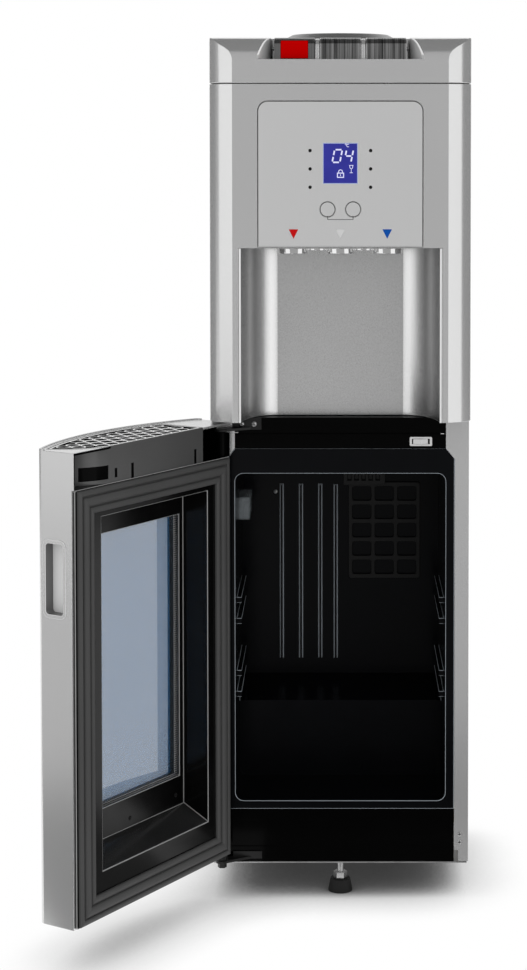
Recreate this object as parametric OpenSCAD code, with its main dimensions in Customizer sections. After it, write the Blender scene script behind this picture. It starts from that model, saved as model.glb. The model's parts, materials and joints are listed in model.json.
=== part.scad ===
// Top-loading water cooler with a chilled cabinet behind a hinged window door.
// Millimetres. Origin on the floor under the front foot's middle, +Z up, the front faces -Y.
// The door is drawn open, as it stands in use.

/* [Body] */
// Width of the cabinet
body_w = 310; // [300:1:326]
// Depth from the upper front face to the rear panel
body_d = 310; // [304:1:330]
// Height of the top cover above the floor
body_h = 1042; // [1034:1:1070]
// Height of the underside of the base pan above the floor
base_z = 44; // [40:1:50]
// Thickness of the steel sheets
sheet = 1.2; // [0.8:0.1:1.6]
// Wall of the moulded housings
wall = 3; // [2.5:0.1:3.5]
// Clearance between neighbouring pieces
gap = 0.3; // [0.2:0.05:0.5]

/* [Upper housing] */
// Front-to-back depth of the front housing
housing_d = 100; // [94:1:110]
// Width of each corner pillar seen from the front
pillar_w = 28; // [26:1:32]
// Slope of the pillar's flat, from the front face
pillar_angle = 25; // [20:1:30]
// Radius between the pillar's flat and the side
pillar_r = 24; // [12:1:26]
// Height of the top cover's skirt, seam to top
cover_h = 54; // [50:1:60]
// Radius of the rounded front top edge
edge_r = 26; // [22:1:28]
// Open seam between the cover and the housing
seam_gap = 0.8; // [0.4:0.1:0.9]

/* [Alcove] */
// Width of the alcove at its mouth
alcove_w = 234; // [228:1:236]
// Height of the alcove
alcove_h = 206; // [196:1:212]
// Depth of the alcove
alcove_d = 72; // [66:1:76]
// Width of the flat back wall
alcove_back_w = 152; // [140:1:164]
// Pitch of the three taps
tap_pitch = 55; // [50:1:58]
// Distance of the spouts behind the front face
tap_in = 24; // [22:1:27]
// Outside diameter of a spout
spout_d = 14; // [12:0.5:15]
// Outside diameter of a shroud cup
cup_d = 36; // [32:1:38]
// How far the shroud cups hang below the alcove ceiling
cup_drop = 7; // [6:0.5:12]

/* [Control panel] */
// Width of the panel plate
panel_w = 194; // [186:1:200]
// Height of the panel plate
panel_h = 171; // [164:1:180]
// Gap from the cover seam down to the panel
panel_drop = 21; // [16:1:26]
// Dark line left open round the panel
panel_gap = 0.5; // [0.3:0.1:0.7]
// Corner radius of the panel
panel_r = 12; // [8:1:16]
// Display width
display_w = 41; // [36:1:44]
// Display height
display_h = 48; // [44:1:50]
// Display centre below the top of the panel
display_drop = 73; // [70:1:76]
// Diameter of a round key
key_d = 18.2; // [16:0.1:20]
// Distance between the two keys
key_pitch = 30; // [26:1:34]
// Key centres above the foot of the panel
key_rise = 44; // [41:1:48]
// Travel of a key
key_travel = 0.8; // [0.5:0.1:1]
// Diameter of an indicator lens
led_d = 4; // [3:0.5:5]
// Distance between the two indicator columns
led_span = 71; // [64:1:78]
// Pitch of the indicator rows
led_pitch = 21.5; // [18:0.5:24]
// First indicator row below the top of the panel
led_drop = 58; // [52:1:64]
// Width of a tap marker
marker_w = 11; // [8:0.5:13]
// Tap markers above the foot of the panel
marker_rise = 15; // [11:1:20]

/* [Buttons] */
// Width of a button
button_w = 47.5; // [44:0.5:48]
// Pitch of the buttons
button_pitch = 54; // [52:1:56]
// Width of the niche at its front edge
niche_w = 195; // [190:1:200]
// Depth of the niche
niche_d = 52; // [48:1:56]
// Set-back of the button faces
button_in = 8; // [6:1:10]
// How hard the niche's ends curve in, 1 is straight
niche_cove = 1.6; // [1:0.1:2]
// Width of the posts between the buttons
post_w = 5.2; // [4.5:0.1:5.5]
// Diameter of the pivot rod
rod_d = 4; // [3:0.5:5]
// Diameter of a push rod
push_d = 6; // [5:0.5:7]

/* [Compartment] */
// Set-back of the cabinet front behind the upper front
front_set = 54; // [52:1:58]
// Width of the opening
opening_w = 254; // [246:1:258]
// Top of the opening below the upper housing
opening_drop = 68.5; // [66:0.5:76]
// Height of the compartment floor at the opening
opening_z = 120.5; // [118:0.5:126]
// Depth of the compartment
liner_d = 195; // [186:1:200]
// Depth of the step over the compressor
hump_d = 90; // [84:1:96]
// Height of the step over the compressor
hump_h = 95; // [90:1:104]
// Wall of the liner
liner_t = 2.5; // [2:0.1:3]
// Radius of the bottom corners of the opening
opening_r = 10; // [6:1:14]
// Width of the side panels' front flanges
flange_w = 17; // [15:1:17]
// Height of the fascia
fascia_h = 38; // [36:1:44]

/* [Door] */
// Inset of the door's sides from the cabinet's
door_inset = 7; // [6:0.5:7.5]
// Gap between the base underside and the door's bottom edge
door_lift = 16; // [14:1:20]
// Gap between the door's top and the upper housing
door_head = 4; // [3.5:0.5:6]
// Thickness of the door at its edges
door_edge = 54; // [52:1:58]
// How far the front bows out in the middle
bow = 32; // [26:1:36]
// Radius of the door's outer corners
door_r = 7; // [5:1:8]
// Wall of the door frame
door_wall = 2.5; // [2:0.1:3]
// Height of the pocket in the door's top
pocket_h = 41; // [39:1:44]
// Rise of the front lip above the door's top
lip_h = 1.5; // [1:0.5:6]
// Width of the window
window_w = 184; // [176:1:188]
// Top of the window below the door's pocket
window_drop = 65; // [64:1:80]
// Height of the window's lower edge above the door's bottom
window_lift = 105; // [100:1:106]
// Thickness of one pane
glass_t = 4; // [3:0.5:5]
// Thickness of the spacer between the panes
spacer_t = 6; // [5:0.5:7]
// Thickness of the gasket
gasket_t = 5; // [4.5:0.1:5.2]
// Hinge axis inward from the door's side
hinge_in = 5.5; // [5:0.1:5.6]
// Hinge axis forward of the cabinet front
hinge_out = 15; // [14.8:0.1:16]
// Diameter of the hinge pins
pin_d = 7; // [6:0.1:7.2]
// Radial running clearance of pins and rods
run = 0.05; // [0.02:0.01:0.09]
// How far the door stands open
door_open = 122; // [90:1:122]
// Height of the finger grip
grip_h = 86; // [76:1:94]
// Width of the finger grip
grip_w = 32; // [28:1:36]
// Depth of the finger grip
grip_d = 14; // [10:1:18]

/* [Drip tray] */
// Inset of the tray opening from the door's outline
tray_inset = 6; // [5:1:14]
// Tray end nearest the hinge, from the middle of the door
tray_x0 = -93; // [-96:1:-86]
// Radius of the tray's rear corner at the free end
tray_r = 60; // [50:1:64]
// Wall of the tray
tray_wall = 2; // [1.6:0.1:2.4]
// Thickness of the grille
grille_t = 3; // [2.4:0.1:3.4]
// Inside diameter of the grille's rings
hole_d = 13; // [11:0.5:14]
// Width of a ring
ring_w = 2.1; // [2:0.1:2.6]
// Pitch of the rings
hole_pitch = 16.5; // [16:0.5:17]

/* [Water system] */
// Inside diameter of the cold tank
tank_d = 166; // [156:1:168]
// Height of the cold tank
tank_h = 210; // [190:1:216]
// Distance of the bottle's axis behind the cabinet's middle
bottle_in = 45; // [43:1:47]
// Diameter of the hot tank
hot_d = 110; // [100:1:116]
// Height of the hot tank
hot_h = 130; // [120:1:140]
// Outside diameter of the hoses
hose_d = 10; // [8:0.5:11]
// Outside diameter of the bottle guard
guard_d = 154; // [150:1:158]
// Inside diameter of the bottle seat
seat_d = 62; // [58:1:66]
// Rise of the bottle guard above the cover
guard_rise = 10.5; // [8:0.5:12]

/* [Cooling system] */
// Diameter of the compressor shell
comp_d = 108; // [100:1:110]
// Height of the compressor shell
comp_h = 128; // [116:1:132]
// Diameter of the condenser tube
cond_d = 5; // [4.5:0.5:6]
// Number of condenser passes
cond_n = 9; // [7:2:11]
// Top condenser pass below the drain plug
cond_drop = 25; // [20:1:40]
// Number of condenser wires
wire_n = 20; // [12:2:24]
// Diameter of a condenser wire
wire_d = 1.6; // [1.4:0.1:2]

/* [Feet] */
// Diameter of the front foot
foot_d = 30; // [26:1:34]
// Height of the front foot's cup
foot_h = 15.5; // [13:0.5:18]
// Diameter of the foot's stem
stem_d = 8; // [7:0.5:9]
// Front foot behind the cabinet front
foot_in = 31; // [26:1:36]
// Diameter of a rear foot
rear_foot_d = 32; // [28:1:36]

/* [Hidden] */
$fn = 48;
eps = 0.01;
big = 2000;
hw = body_w / 2;
yf = -front_set - foot_in;
yr = yf + body_d;
yc = yf + front_set;
bottle_y = (yf + yr) / 2 + bottle_in;
yh = yf + housing_d;
seam_z = body_h - cover_h;
ledge_z = body_h - edge_r;
panel_top = seam_z - panel_drop;
panel_z = panel_top - panel_h;
panel_lip = 2;
alcove_top = panel_z - panel_lip;
upper_z = alcove_top - alcove_h;
panel_t = wall;
rim = 6;
rim_t = 2;
cut = 1;
silver = "#b9babd";
black = "#17181a";
chrome = "#d5d8da";
steel = "#a9adb0";

// Corner pillar: the outline inset by i, from the front crease round to the side
pillar_cy = yf + pillar_r * cos(pillar_angle)
    + tan(pillar_angle) * (pillar_w - pillar_r + pillar_r * sin(pillar_angle));
pillar_n = 8;
function crease_x(i) = hw - pillar_w - i * tan(pillar_angle / 2);
function pillar_pt(i, a) = [hw - pillar_r + (pillar_r - i) * cos(a), pillar_cy + (pillar_r - i) * sin(a)];
function right_edge(i) = concat([[crease_x(i), yf + i]],
    [for (k = [0:pillar_n]) pillar_pt(i, (pillar_angle - 90) * (1 - k / pillar_n))]);
function flip(pts) = [for (k = [len(pts) - 1:-1:0]) [-pts[k][0], pts[k][1]]];

module plan_outline(i, y_back) {
    edge = right_edge(i);
    polygon(concat(edge, [[hw - i, y_back], [i - hw, y_back]], flip(edge)));
}

// A profile given as (y, z), drawn along X about the middle
module along_x(w) {
    translate([-w / 2, 0, 0]) rotate([90, 0, 90]) linear_extrude(w) children();
}

// A profile given as (x, z), drawn along Y from y0 for t
module along_y(y0, t) {
    translate([0, y0 + t, 0]) rotate([90, 0, 0]) linear_extrude(t) children();
}

module block(x0, x1, y0, y1, z0, z1) {
    translate([x0, y0, z0]) cube([x1 - x0, y1 - y0, z1 - z0]);
}

module rounded_rect(w, h, r) {
    square([w - 2 * r, h], center = true);
    square([w, h - 2 * r], center = true);
    for (sx = [-1, 1], sz = [-1, 1])
        translate([sx * (w / 2 - r), sz * (h / 2 - r)]) circle(r);
}

// A tube swept along points whose path never runs along X
function unit(v) = v / norm(v);
function heading(p, k) = unit(p[min(k + 1, len(p) - 1)] - p[max(k - 1, 0)]);
function ring(p, k, r, n) = let (t = heading(p, k), a = unit(cross([1, 0, 0], t)), b = cross(t, a))
    [for (j = [0:n - 1]) p[k] + r * (cos(360 * j / n) * a + sin(360 * j / n) * b)];
module swept(p, r, n) {
    last = len(p) - 1;
    pts = [for (k = [0:last]) each ring(p, k, r, n)];
    sides = [for (k = [0:last - 1], j = [0:n - 1])
        each [[k * n + j, (k + 1) * n + j, k * n + (j + 1) % n],
              [k * n + (j + 1) % n, (k + 1) * n + j, (k + 1) * n + (j + 1) % n]]];
    ends = [[for (j = [0:n - 1]) j], [for (j = [n - 1:-1:0]) last * n + j]];
    polyhedron(pts, concat(sides, ends));
}

// Upper housing and top cover

skirt_t = wall;
niche_taper = 15.5;
niche_n = 8;
niche_depth = 14;
well_side = 1.3;
well_front = 0.6;
well_w = 2 * button_pitch + button_w + 2 * well_side;
well_y0 = yf + button_in - well_front;
well_y1 = yf + niche_d;
rod_in = 7;
rod_drop = 12;
rod_y = well_y1 - rod_in;
rod_z = body_h - rod_drop;
rod_seat = 2.5;
guard_seat = 8;
guard_hole_d = guard_d - 2 * guard_seat;
post_set = 1;

function top_profile(i) = concat([[yf + i, seam_z - eps]],
    [for (k = [0:pillar_n]) let (a = 180 - 90 * k / pillar_n)
        [yf + edge_r + (edge_r - i) * cos(a), body_h - edge_r + (edge_r - i) * sin(a)]],
    [[yr - i, body_h - i], [yr - i, seam_z - eps]]);

// The niche's ends curve in from the front edge to the buttons
function niche_side(i) = concat([[niche_w / 2 + i, yf - i - cut]],
    [for (k = [0:niche_n]) let (u = k / niche_n)
        [niche_w / 2 - niche_taper * u + i, yf + edge_r * pow(u, niche_cove)]],
    [[niche_w / 2 - niche_taper + i, well_y1 + i]]);
module niche_plan(i) {
    edge = niche_side(i);
    polygon(concat(edge, flip(edge)));
}

module cover_form(i) {
    intersection() {
        translate([0, 0, seam_z]) linear_extrude(cover_h) plan_outline(i, yr - i);
        along_x(body_w) polygon(top_profile(i));
    }
}

module top_cover() color(silver) {
    difference() {
        union() {
            difference() {
                cover_form(0);
                translate([0, 0, -eps]) cover_form(skirt_t);
            }
            intersection() {
                cover_form(0);
                translate([0, 0, ledge_z - niche_depth]) linear_extrude(edge_r + niche_depth)
                    niche_plan(wall);
            }
        }
        difference() {
            union() {
                translate([0, 0, ledge_z]) linear_extrude(edge_r + cut) niche_plan(0);
                block(-well_w / 2, well_w / 2, well_y0, well_y1, ledge_z - niche_depth - cut, body_h + cut);
            }
            for (s = [-1, 1]) translate([s * button_pitch / 2, 0, 0]) post();
        }
        translate([-well_w / 2 - rod_seat, rod_y, rod_z]) rotate([0, 90, 0])
            cylinder(d = rod_d, h = well_w + 2 * rod_seat);
        translate([0, bottle_y, body_h - 2 * skirt_t]) cylinder(d = guard_hole_d, h = 3 * skirt_t, $fn = 96);
    }
}

// A post between two buttons follows the cover's rounded edge, a little inside it
module post() {
    r = edge_r - post_set;
    along_x(post_w) polygon(concat([[well_y0 - cut, ledge_z - niche_depth], [well_y0 - cut, ledge_z]],
        [for (k = [0:niche_n]) let (d = button_in + post_set, y = yf + d + (edge_r - d) * k / niche_n)
            [y, ledge_z + sqrt(r * r - pow(yf + edge_r - y, 2))]],
        [[well_y1 + cut, body_h - post_set], [well_y1 + cut, ledge_z - niche_depth]]));
}

module button_pivot_rod() color(steel) {
    translate([-well_w / 2 - rod_seat, rod_y, rod_z]) rotate([0, 90, 0])
        cylinder(d = rod_d, h = well_w + 2 * rod_seat);
}

// Buttons

button_skirt = 8;
button_bottom = ledge_z - button_skirt;
button_back = 1.5;
button_tail = 2;
button_n = 6;
safety_w = 32;
safety_h = 21;
safety_t = 5;
safety_proud = 0.5;
safety_slope = 4;
safety_drop = 3.5;
safety_travel = 2.5;
safety_lift = 1;
safety_z = ledge_z + safety_lift;
catch_gap = gap;

function button_profile() = concat(
    [[yf + button_in, button_bottom]],
    [for (k = [0:button_n]) let (y = yf + button_in + (edge_r - button_in) * k / button_n)
        [y, ledge_z + sqrt(edge_r * edge_r - pow(yf + edge_r - y, 2))]],
    [[well_y1 - button_back, body_h], [well_y1 - button_back, rod_z - rod_d],
     [rod_y - 2 * rod_d, button_bottom + button_tail], [yf + edge_r + button_skirt, button_bottom]]);

module button_body(x) {
    translate([x, 0, 0]) difference() {
        along_x(button_w) polygon(button_profile());
        translate([-button_w, rod_y, rod_z]) rotate([0, 90, 0])
            cylinder(r = rod_d / 2 + run, h = 2 * button_w);
    }
}

module hot_button() color(chrome) {
    difference() {
        button_body(-button_pitch);
        translate([-button_pitch, 0, 0])
            block(-safety_w / 2 - catch_gap, safety_w / 2 + catch_gap,
                  yf - cut, yf + button_in + safety_t + safety_travel + cut,
                  safety_z - catch_gap, safety_z + safety_h + catch_gap);
    }
}
module room_button() color("#6f7376") button_body(0);
module cold_button() color("#6f7376") button_body(button_pitch);
module hot_safety() color("#c4242b") {
    y0 = yf + button_in - safety_proud;
    y1 = yf + button_in + safety_t;
    translate([-button_pitch, 0, 0]) along_x(safety_w)
        polygon([[y0, safety_z], [y1, safety_z], [y1, safety_z + safety_h],
            [yf + button_in + safety_slope, safety_z + safety_h], [y0, safety_z + safety_h - safety_drop]]);
}

// Front housing, alcove and control panel

alcove_t = 2.5;
alcove_n = 12;
mouth_w = alcove_w + 2 * alcove_t;

function alcove_side(i) = [for (k = [0:alcove_n]) let (a = 90 * k / alcove_n)
    [alcove_back_w / 2 + ((alcove_w - alcove_back_w) / 2 + i) * cos(a), yf + (alcove_d + i) * sin(a)]];
module alcove_plan(i) {
    edge = alcove_side(i);
    polygon(concat(edge, flip(edge)));
}

module panel_outline(i) {
    translate([0, panel_z + panel_h / 2]) rounded_rect(panel_w + 2 * i, panel_h + 2 * i, panel_r + i);
    translate([-panel_w / 2 - i, panel_z - i]) square([panel_w + 2 * i, panel_r + i]);
}

module front_housing() color(silver) {
    difference() {
        translate([0, 0, upper_z]) linear_extrude(seam_z - seam_gap - upper_z) plan_outline(0, yh);
        translate([0, 0, upper_z - cut]) linear_extrude(seam_z - upper_z + cut) plan_outline(wall, yh + cut);
        along_y(yf - cut, wall + 2 * cut) panel_outline(panel_gap);
        block(-mouth_w / 2 - gap, mouth_w / 2 + gap, yf - cut, yf + wall + cut,
              upper_z - cut, alcove_top + gap);
    }
}

alcove_roof = panel_lip - gap;
ear = 4;
spout_gap = 1;
module alcove_liner() color("#b4b5b8") {
    difference() {
        union() {
            translate([0, 0, upper_z]) linear_extrude(alcove_h + alcove_roof) alcove_plan(alcove_t);
            for (s = [0, 1]) mirror([s, 0, 0])
                block(mouth_w / 2 - cut, mouth_w / 2 + ear, yf + wall, yf + wall + rim_t,
                      upper_z, alcove_top);
        }
        translate([0, 0, upper_z - cut]) linear_extrude(alcove_h + cut) translate([0, -eps]) alcove_plan(0);
        block(-big, big, yf - cut, yf + wall + gap, alcove_top, big);
        for (x = [-tap_pitch, 0, tap_pitch]) translate([x, yf + tap_in, alcove_top - cut])
            cylinder(d = spout_d + 2 * spout_gap, h = alcove_roof + 2 * cut);
    }
}

// Chrome cups round the spouts, with shallower lobes between them
strip_front = 6;
lobe_d = 26;
cup_play = 3;
module spout_shroud() color(chrome) {
    difference() {
        union() {
            for (x = [-tap_pitch, 0, tap_pitch])
                translate([x, yf + tap_in, alcove_top - cup_drop]) cylinder(d = cup_d, h = cup_drop);
            for (x = [-tap_pitch / 2, tap_pitch / 2])
                translate([x, yf + tap_in, alcove_top - cup_drop / 2]) cylinder(d = lobe_d, h = cup_drop / 2);
            block(-tap_pitch, tap_pitch, yf + tap_in - strip_front, yf + tap_in + cup_d / 2,
                  alcove_top - cup_drop / 2, alcove_top);
        }
        for (x = [-tap_pitch, 0, tap_pitch])
            translate([x, yf + tap_in, alcove_top - cup_drop - cut])
                cylinder(d = spout_d + 2 * cup_play, h = cup_drop + 2 * cut);
    }
}

tap_d = 24;
tap_h = 36;
tap_z = alcove_top + alcove_roof;
barb_rise = 20;
barb_z = tap_z + barb_rise;
barb_len = 8;
barb_step = 1.5;
spout_up = 2;
spout_wall = 2.5;
bore_up = 6;
plunger_seat = 12;
plunger_free = 6;
module tap_bodies() color("#d9dadb") {
    for (x = [-tap_pitch, 0, tap_pitch]) difference() {
        union() {
            translate([x, yf + tap_in, tap_z]) cylinder(d = tap_d, h = tap_h);
            translate([x, yf + tap_in, alcove_top - cup_drop + spout_up])
                cylinder(d = spout_d, h = cup_drop - spout_up + alcove_roof + bore_up);
            translate([x, yf + tap_in, barb_z]) rotate([-90, 0, 0])
                cylinder(d = hose_d - 2 * barb_step, h = tap_d / 2 + barb_len);
        }
        translate([x, yf + tap_in, tap_z + tap_h - plunger_seat - plunger_free])
            cylinder(r = push_d / 2 + run, h = plunger_seat + plunger_free + cut);
        translate([x, yf + tap_in, 0]) cylinder(d = spout_d - 2 * spout_wall, h = tap_z + bore_up);
    }
}

push_gap = 0.4;
module push_rod(x) {
    translate([x, yf + tap_in, tap_z + tap_h - plunger_seat])
        cylinder(d = push_d, h = button_bottom - push_gap - tap_z - tap_h + plunger_seat);
}
module hot_push_rod() color("#e2e2de") push_rod(-tap_pitch);
module room_push_rod() color("#e2e2de") push_rod(0);
module cold_push_rod() color("#e2e2de") push_rod(tap_pitch);

key_ring = 0.35;
key_flange = 2;
key_shoulder = 1.5;
window_fit = 0.2;
window_in = 0.4;
window_back = 1.5;
window_rim = 2;
marker_t = 0.8;
led_rows = 3;
key_z = panel_z + key_rise;
display_z = panel_top - display_drop;

module at_leds() {
    for (s = [-1, 1], k = [0:led_rows - 1])
        translate([s * led_span / 2, yf, panel_top - led_drop - k * led_pitch])
            rotate([-90, 0, 0]) children();
}
module marker_plan() {
    for (x = [-tap_pitch, 0, tap_pitch]) translate([x, panel_z + marker_rise])
        polygon([[-marker_w / 2, marker_w / 2], [marker_w / 2, marker_w / 2], [0, -marker_w / 2]]);
}

module control_panel() color("#b0b2b5") {
    difference() {
        union() {
            along_y(yf, panel_t) panel_outline(0);
            difference() {
                along_y(yf + panel_t, rim_t) panel_outline(rim);
                block(-big, big, -big, big, 0, panel_z);
            }
        }
        along_y(yf - cut, panel_t + rim_t + 2 * cut) translate([0, display_z])
            square([display_w, display_h], center = true);
        for (s = [-1, 1]) translate([s * key_pitch / 2, yf - cut, key_z]) rotate([-90, 0, 0])
            cylinder(d = key_d + 2 * key_ring, h = panel_t + rim_t + 2 * cut);
        at_leds() translate([0, 0, -cut]) cylinder(d = led_d, h = panel_t + rim_t + 2 * cut);
        along_y(yf - cut, cut + marker_t) marker_plan();
    }
}

module display_window() color("#2a4bd0") {
    along_y(yf + window_in, panel_t + rim_t - window_in) translate([0, display_z])
        square([display_w - 2 * window_fit, display_h - 2 * window_fit], center = true);
    along_y(yf + panel_t + rim_t, window_back) translate([0, display_z])
        square([display_w + 2 * window_rim, display_h + 2 * window_rim], center = true);
}

module round_key(x) {
    back = yf + panel_t + rim_t + gap;
    translate([x, 0, key_z]) rotate([-90, 0, 0]) {
        translate([0, 0, yf]) cylinder(d = key_d, h = back - yf);
        translate([0, 0, back]) cylinder(d = key_d + 2 * key_shoulder, h = key_flange);
    }
}
module select_key() color("#c3c5c8") round_key(-key_pitch / 2);
module custom_key() color("#c3c5c8") round_key(key_pitch / 2);
module indicator_lenses() color("#e8e8e8") at_leds() cylinder(d = led_d, h = panel_t + rim_t);
module tap_markers() color("#c4242b") along_y(yf, marker_t) marker_plan();

board_w = 150;
board_t = 1.6;
board_back = 1.5;
board_y = yf + panel_t + rim_t + gap + key_flange + key_travel + board_back;
board_foot = 14;
board_head = 22;
board_z0 = key_z - board_foot;
board_z1 = panel_top - board_head;
post_d = 6;
tact_w = 6;
tact_t = 1.2;
module control_board() color("#1f6b3a") {
    block(-board_w / 2, board_w / 2, board_y, board_y + board_t, board_z0, board_z1);
    for (sx = [-1, 1], z = [board_z0 + post_d, board_z1 - post_d])
        translate([sx * (board_w / 2 - post_d), board_y, z]) rotate([90, 0, 0])
            cylinder(d = post_d, h = board_y - yf - panel_t - rim_t);
    block(-display_w / 2, display_w / 2, yf + panel_t + rim_t + window_back, board_y,
          display_z - display_h / 2, display_z + display_h / 2);
    for (s = [-1, 1]) translate([s * key_pitch / 2, 0, key_z])
        block(-tact_w / 2, tact_w / 2, board_y - tact_t, board_y, -tact_w / 2, tact_w / 2);
}

// Cabinet

fascia_z = upper_z - fascia_h;
flange_top_w = 27.7;
flange_drop = 38;
flange_step_z = upper_z - flange_drop;
flange_slope = 13;
foot_set = 2;
panel_foot = base_z + foot_set;
lug_h = 14;
lug_w = 5;

// Inner edge of the right flange at height z, less the clearance, and the sheets that follow it
function flange_x(z) = hw - gap - flange_w - (flange_top_w - flange_w)
    * min(1, max(0, (z - flange_step_z + flange_slope) / flange_slope));
function flange_side(z0, z1) = concat([[flange_x(z0), z0]],
    [for (z = [flange_step_z - flange_slope, flange_step_z])
        if (z > z0 + eps && z < z1 - eps) [flange_x(z), z]], [[flange_x(z1), z1]]);
module front_sheet(z0, z1, t) {
    edge = flange_side(z0, z1);
    along_y(yc, t) polygon(concat(edge, flip(edge)));
}

module side_panel() {
    translate([hw - sheet, 0, 0]) rotate([90, 0, 90]) linear_extrude(sheet)
        polygon([[yc, panel_foot], [yr, panel_foot], [yr, seam_z], [yh + gap, seam_z],
                 [yh + gap, upper_z], [yc, upper_z]]);
    difference() {
        along_y(yc, sheet) polygon([[hw - eps, panel_foot], [hw - flange_w, panel_foot],
            [hw - flange_w, flange_step_z - flange_slope], [hw - flange_top_w, flange_step_z],
            [hw - flange_top_w, upper_z], [hw - eps, upper_z]]);
        block(hw - flange_w - cut, hw - flange_w + lug_w, yc - cut, yc + sheet + cut,
              panel_foot - cut, panel_foot + lug_h);
    }
}
module right_side_panel() color(silver) side_panel();
module left_side_panel() color(silver) mirror([1, 0, 0]) side_panel();

fascia_w = 2 * (hw - flange_top_w) - 2 * gap;
shelf_over = 5;
shelf_set = 0.5;
shelf_z = upper_z - gap - shelf_set;
shelf_y = yf + alcove_d + alcove_t + shelf_over;
line_drop = 20;
line_z = upper_z - line_drop;
line_h = 1;
line_t = 0.8;
switch_x = 97;
switch_drop = 29.5;
switch_z = upper_z - switch_drop;
switch_depth = 14;
bezel_w = 27;
bezel_h = 11;
bezel_t = 1.5;
bezel_r = 1.5;
bezel_side = 2;
bezel_edge = 1.5;
hinge_from = 25;
hinge_to = 60;
hinge_x0 = hinge_from - hw;
hinge_x1 = hinge_to - hw;
screw_d = 4;

module fascia() color(black) {
    difference() {
        union() {
            front_sheet(fascia_z, upper_z - gap, wall);
            block(shelf_set - fascia_w / 2, fascia_w / 2 - shelf_set, yc + wall / 2, shelf_y,
                  shelf_z - wall, shelf_z);
        }
        block(-fascia_w, fascia_w, yc - cut, yc + line_t, line_z - line_h / 2, line_z + line_h / 2);
        translate([switch_x, 0, switch_z])
            block(bezel_side - bezel_w / 2, bezel_w / 2 - bezel_side, yc - cut, yc + wall + cut,
                  bezel_edge - bezel_h / 2, bezel_h / 2 - bezel_edge);
        at_hinge_screws() translate([0, 0, -eps]) cylinder(r = screw_d / 2 + run, h = wall + cut);
    }
}

rocker_side = 4;
rocker_edge = 2.5;
rocker_w = bezel_w - 2 * rocker_side;
rocker_h = bezel_h - 2 * rocker_edge;
rocker_pin = 2;
rocker_play = 1.2;
rocker_in = 4;
rocker_low = 6;
rocker_mid = 7.5;
rocker_high = 4.5;
rocker_back = 2;
rocker_trim = 0.8;
rocker_room = 12;
pin_h = bezel_h - 2 * bezel_edge;
module switch_bezel() color("#dcdddd") {
    difference() {
        union() {
            translate([switch_x, 0, switch_z]) along_y(yc - bezel_t, bezel_t)
                rounded_rect(bezel_w, bezel_h, bezel_r);
            translate([switch_x, 0, switch_z])
                block(bezel_side - bezel_w / 2, bezel_w / 2 - bezel_side, yc, yc + switch_depth,
                      bezel_edge - bezel_h / 2, bezel_h / 2 - bezel_edge);
        }
        translate([switch_x, 0, switch_z])
            block(-rocker_w / 2 - rocker_play, rocker_w / 2 + rocker_play, yc - bezel_t - cut,
                  yc + rocker_room, -rocker_h / 2 - gap, rocker_h / 2 + gap);
        translate([switch_x, yc + rocker_in, switch_z - pin_h / 2 - eps])
            cylinder(r = rocker_pin / 2 + run, h = pin_h + 2 * eps, $fn = 24);
    }
}
module light_rocker() color("#eceded") {
    translate([switch_x, yc + rocker_in, switch_z]) {
        translate([0, 0, -rocker_h / 2]) linear_extrude(rocker_h)
            polygon([[-rocker_w / 2, -rocker_low], [0, -rocker_mid],
                     [rocker_w / 2 - rocker_trim, -rocker_high],
                     [rocker_w / 4, rocker_back], [-rocker_w / 4, rocker_back]]);
        translate([0, 0, -pin_h / 2]) cylinder(d = rocker_pin, h = pin_h, $fn = 24);
    }
}

// Compartment liner: the inside as a side profile and a front outline

floor_y = yc + liner_d - hump_d;
back_y = yc + liner_d;
opening_top = upper_z - opening_drop;
opening_h = opening_top - opening_z;
step_slope = 12;
lamp_in = 118;
lamp_drop = 58;
lamp_z = opening_top - lamp_drop;
lamp_h = 28;
lamp_l = 60;
lamp_out = 14;
lamp_wall = 2;
rail_h = 7;
rail_out = 6;
rail_gap = 26;
rail_len = 130;
rail_in = 40;
rail_low = 120;
rail_z0 = opening_z + rail_low;
rail_z = [rail_z0, (rail_z0 + lamp_z - lamp_h / 2 - rail_gap) / 2];
rib_w = 4;
rib_out = 3;
rib_at = [-76, -51, -26, -6];
rib_foot = 20;
rib_head = 45;
liner_foot = 10;
lf_z0 = opening_z - liner_foot;

module liner_form(i) {
    intersection() {
        along_x(opening_w + 2 * i) polygon([[yc - cut, opening_z - i], [floor_y + i, opening_z - i],
            [floor_y + i, opening_z + hump_h - i], [back_y + i, opening_z + hump_h + step_slope - i],
            [back_y + i, opening_top + i], [yc - cut, opening_top + i]]);
        along_y(yc - cut, liner_d + cut + 2 * liner_t) translate([0, opening_z + opening_h / 2])
            rounded_rect(opening_w + 2 * i, opening_h + 2 * i, opening_r + i);
    }
}

module fridge_liner() color(black) {
    difference() {
        union() {
            intersection() {
                liner_form(liner_t);
                block(-big, big, yc, big, 0, big);
            }
            front_sheet(lf_z0, fascia_z - gap, liner_t);
        }
        liner_form(0);
    }
    for (s = [-1, 1], z = rail_z, k = [0, 1])
        translate([s * (opening_w / 2 - rail_out / 2 + eps), yc + rail_in + rail_len / 2, z + k * rail_gap])
            cube([rail_out, rail_len, rail_h], center = true);
    for (x = rib_at)
        block(x - rib_w / 2, x + rib_w / 2, back_y - rib_out, back_y + eps,
              opening_z + hump_h + step_slope + rib_foot, opening_top - rib_head);
}

foam_side = hw - sheet - gap;
foam_under = 28;
foam_z0 = opening_z - foam_under;
foam_clear = 2;
bay_in = 32;
bay_y = floor_y + bay_in;
bay_drop = 8;
bay_z = opening_z + hump_h - liner_t - bay_drop;
module insulation_foam() color("#e6d9a8") {
    difference() {
        block(-foam_side, foam_side, yc + liner_t + gap, yr - sheet - gap, foam_z0, fascia_z - gap);
        liner_form(liner_t + gap);
        block(-big, big, bay_y, big, 0, bay_z);
        block(-big, big, -big, yc + wall + switch_depth + gap,
              flange_step_z - flange_slope - foam_clear, big);
    }
}

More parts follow.
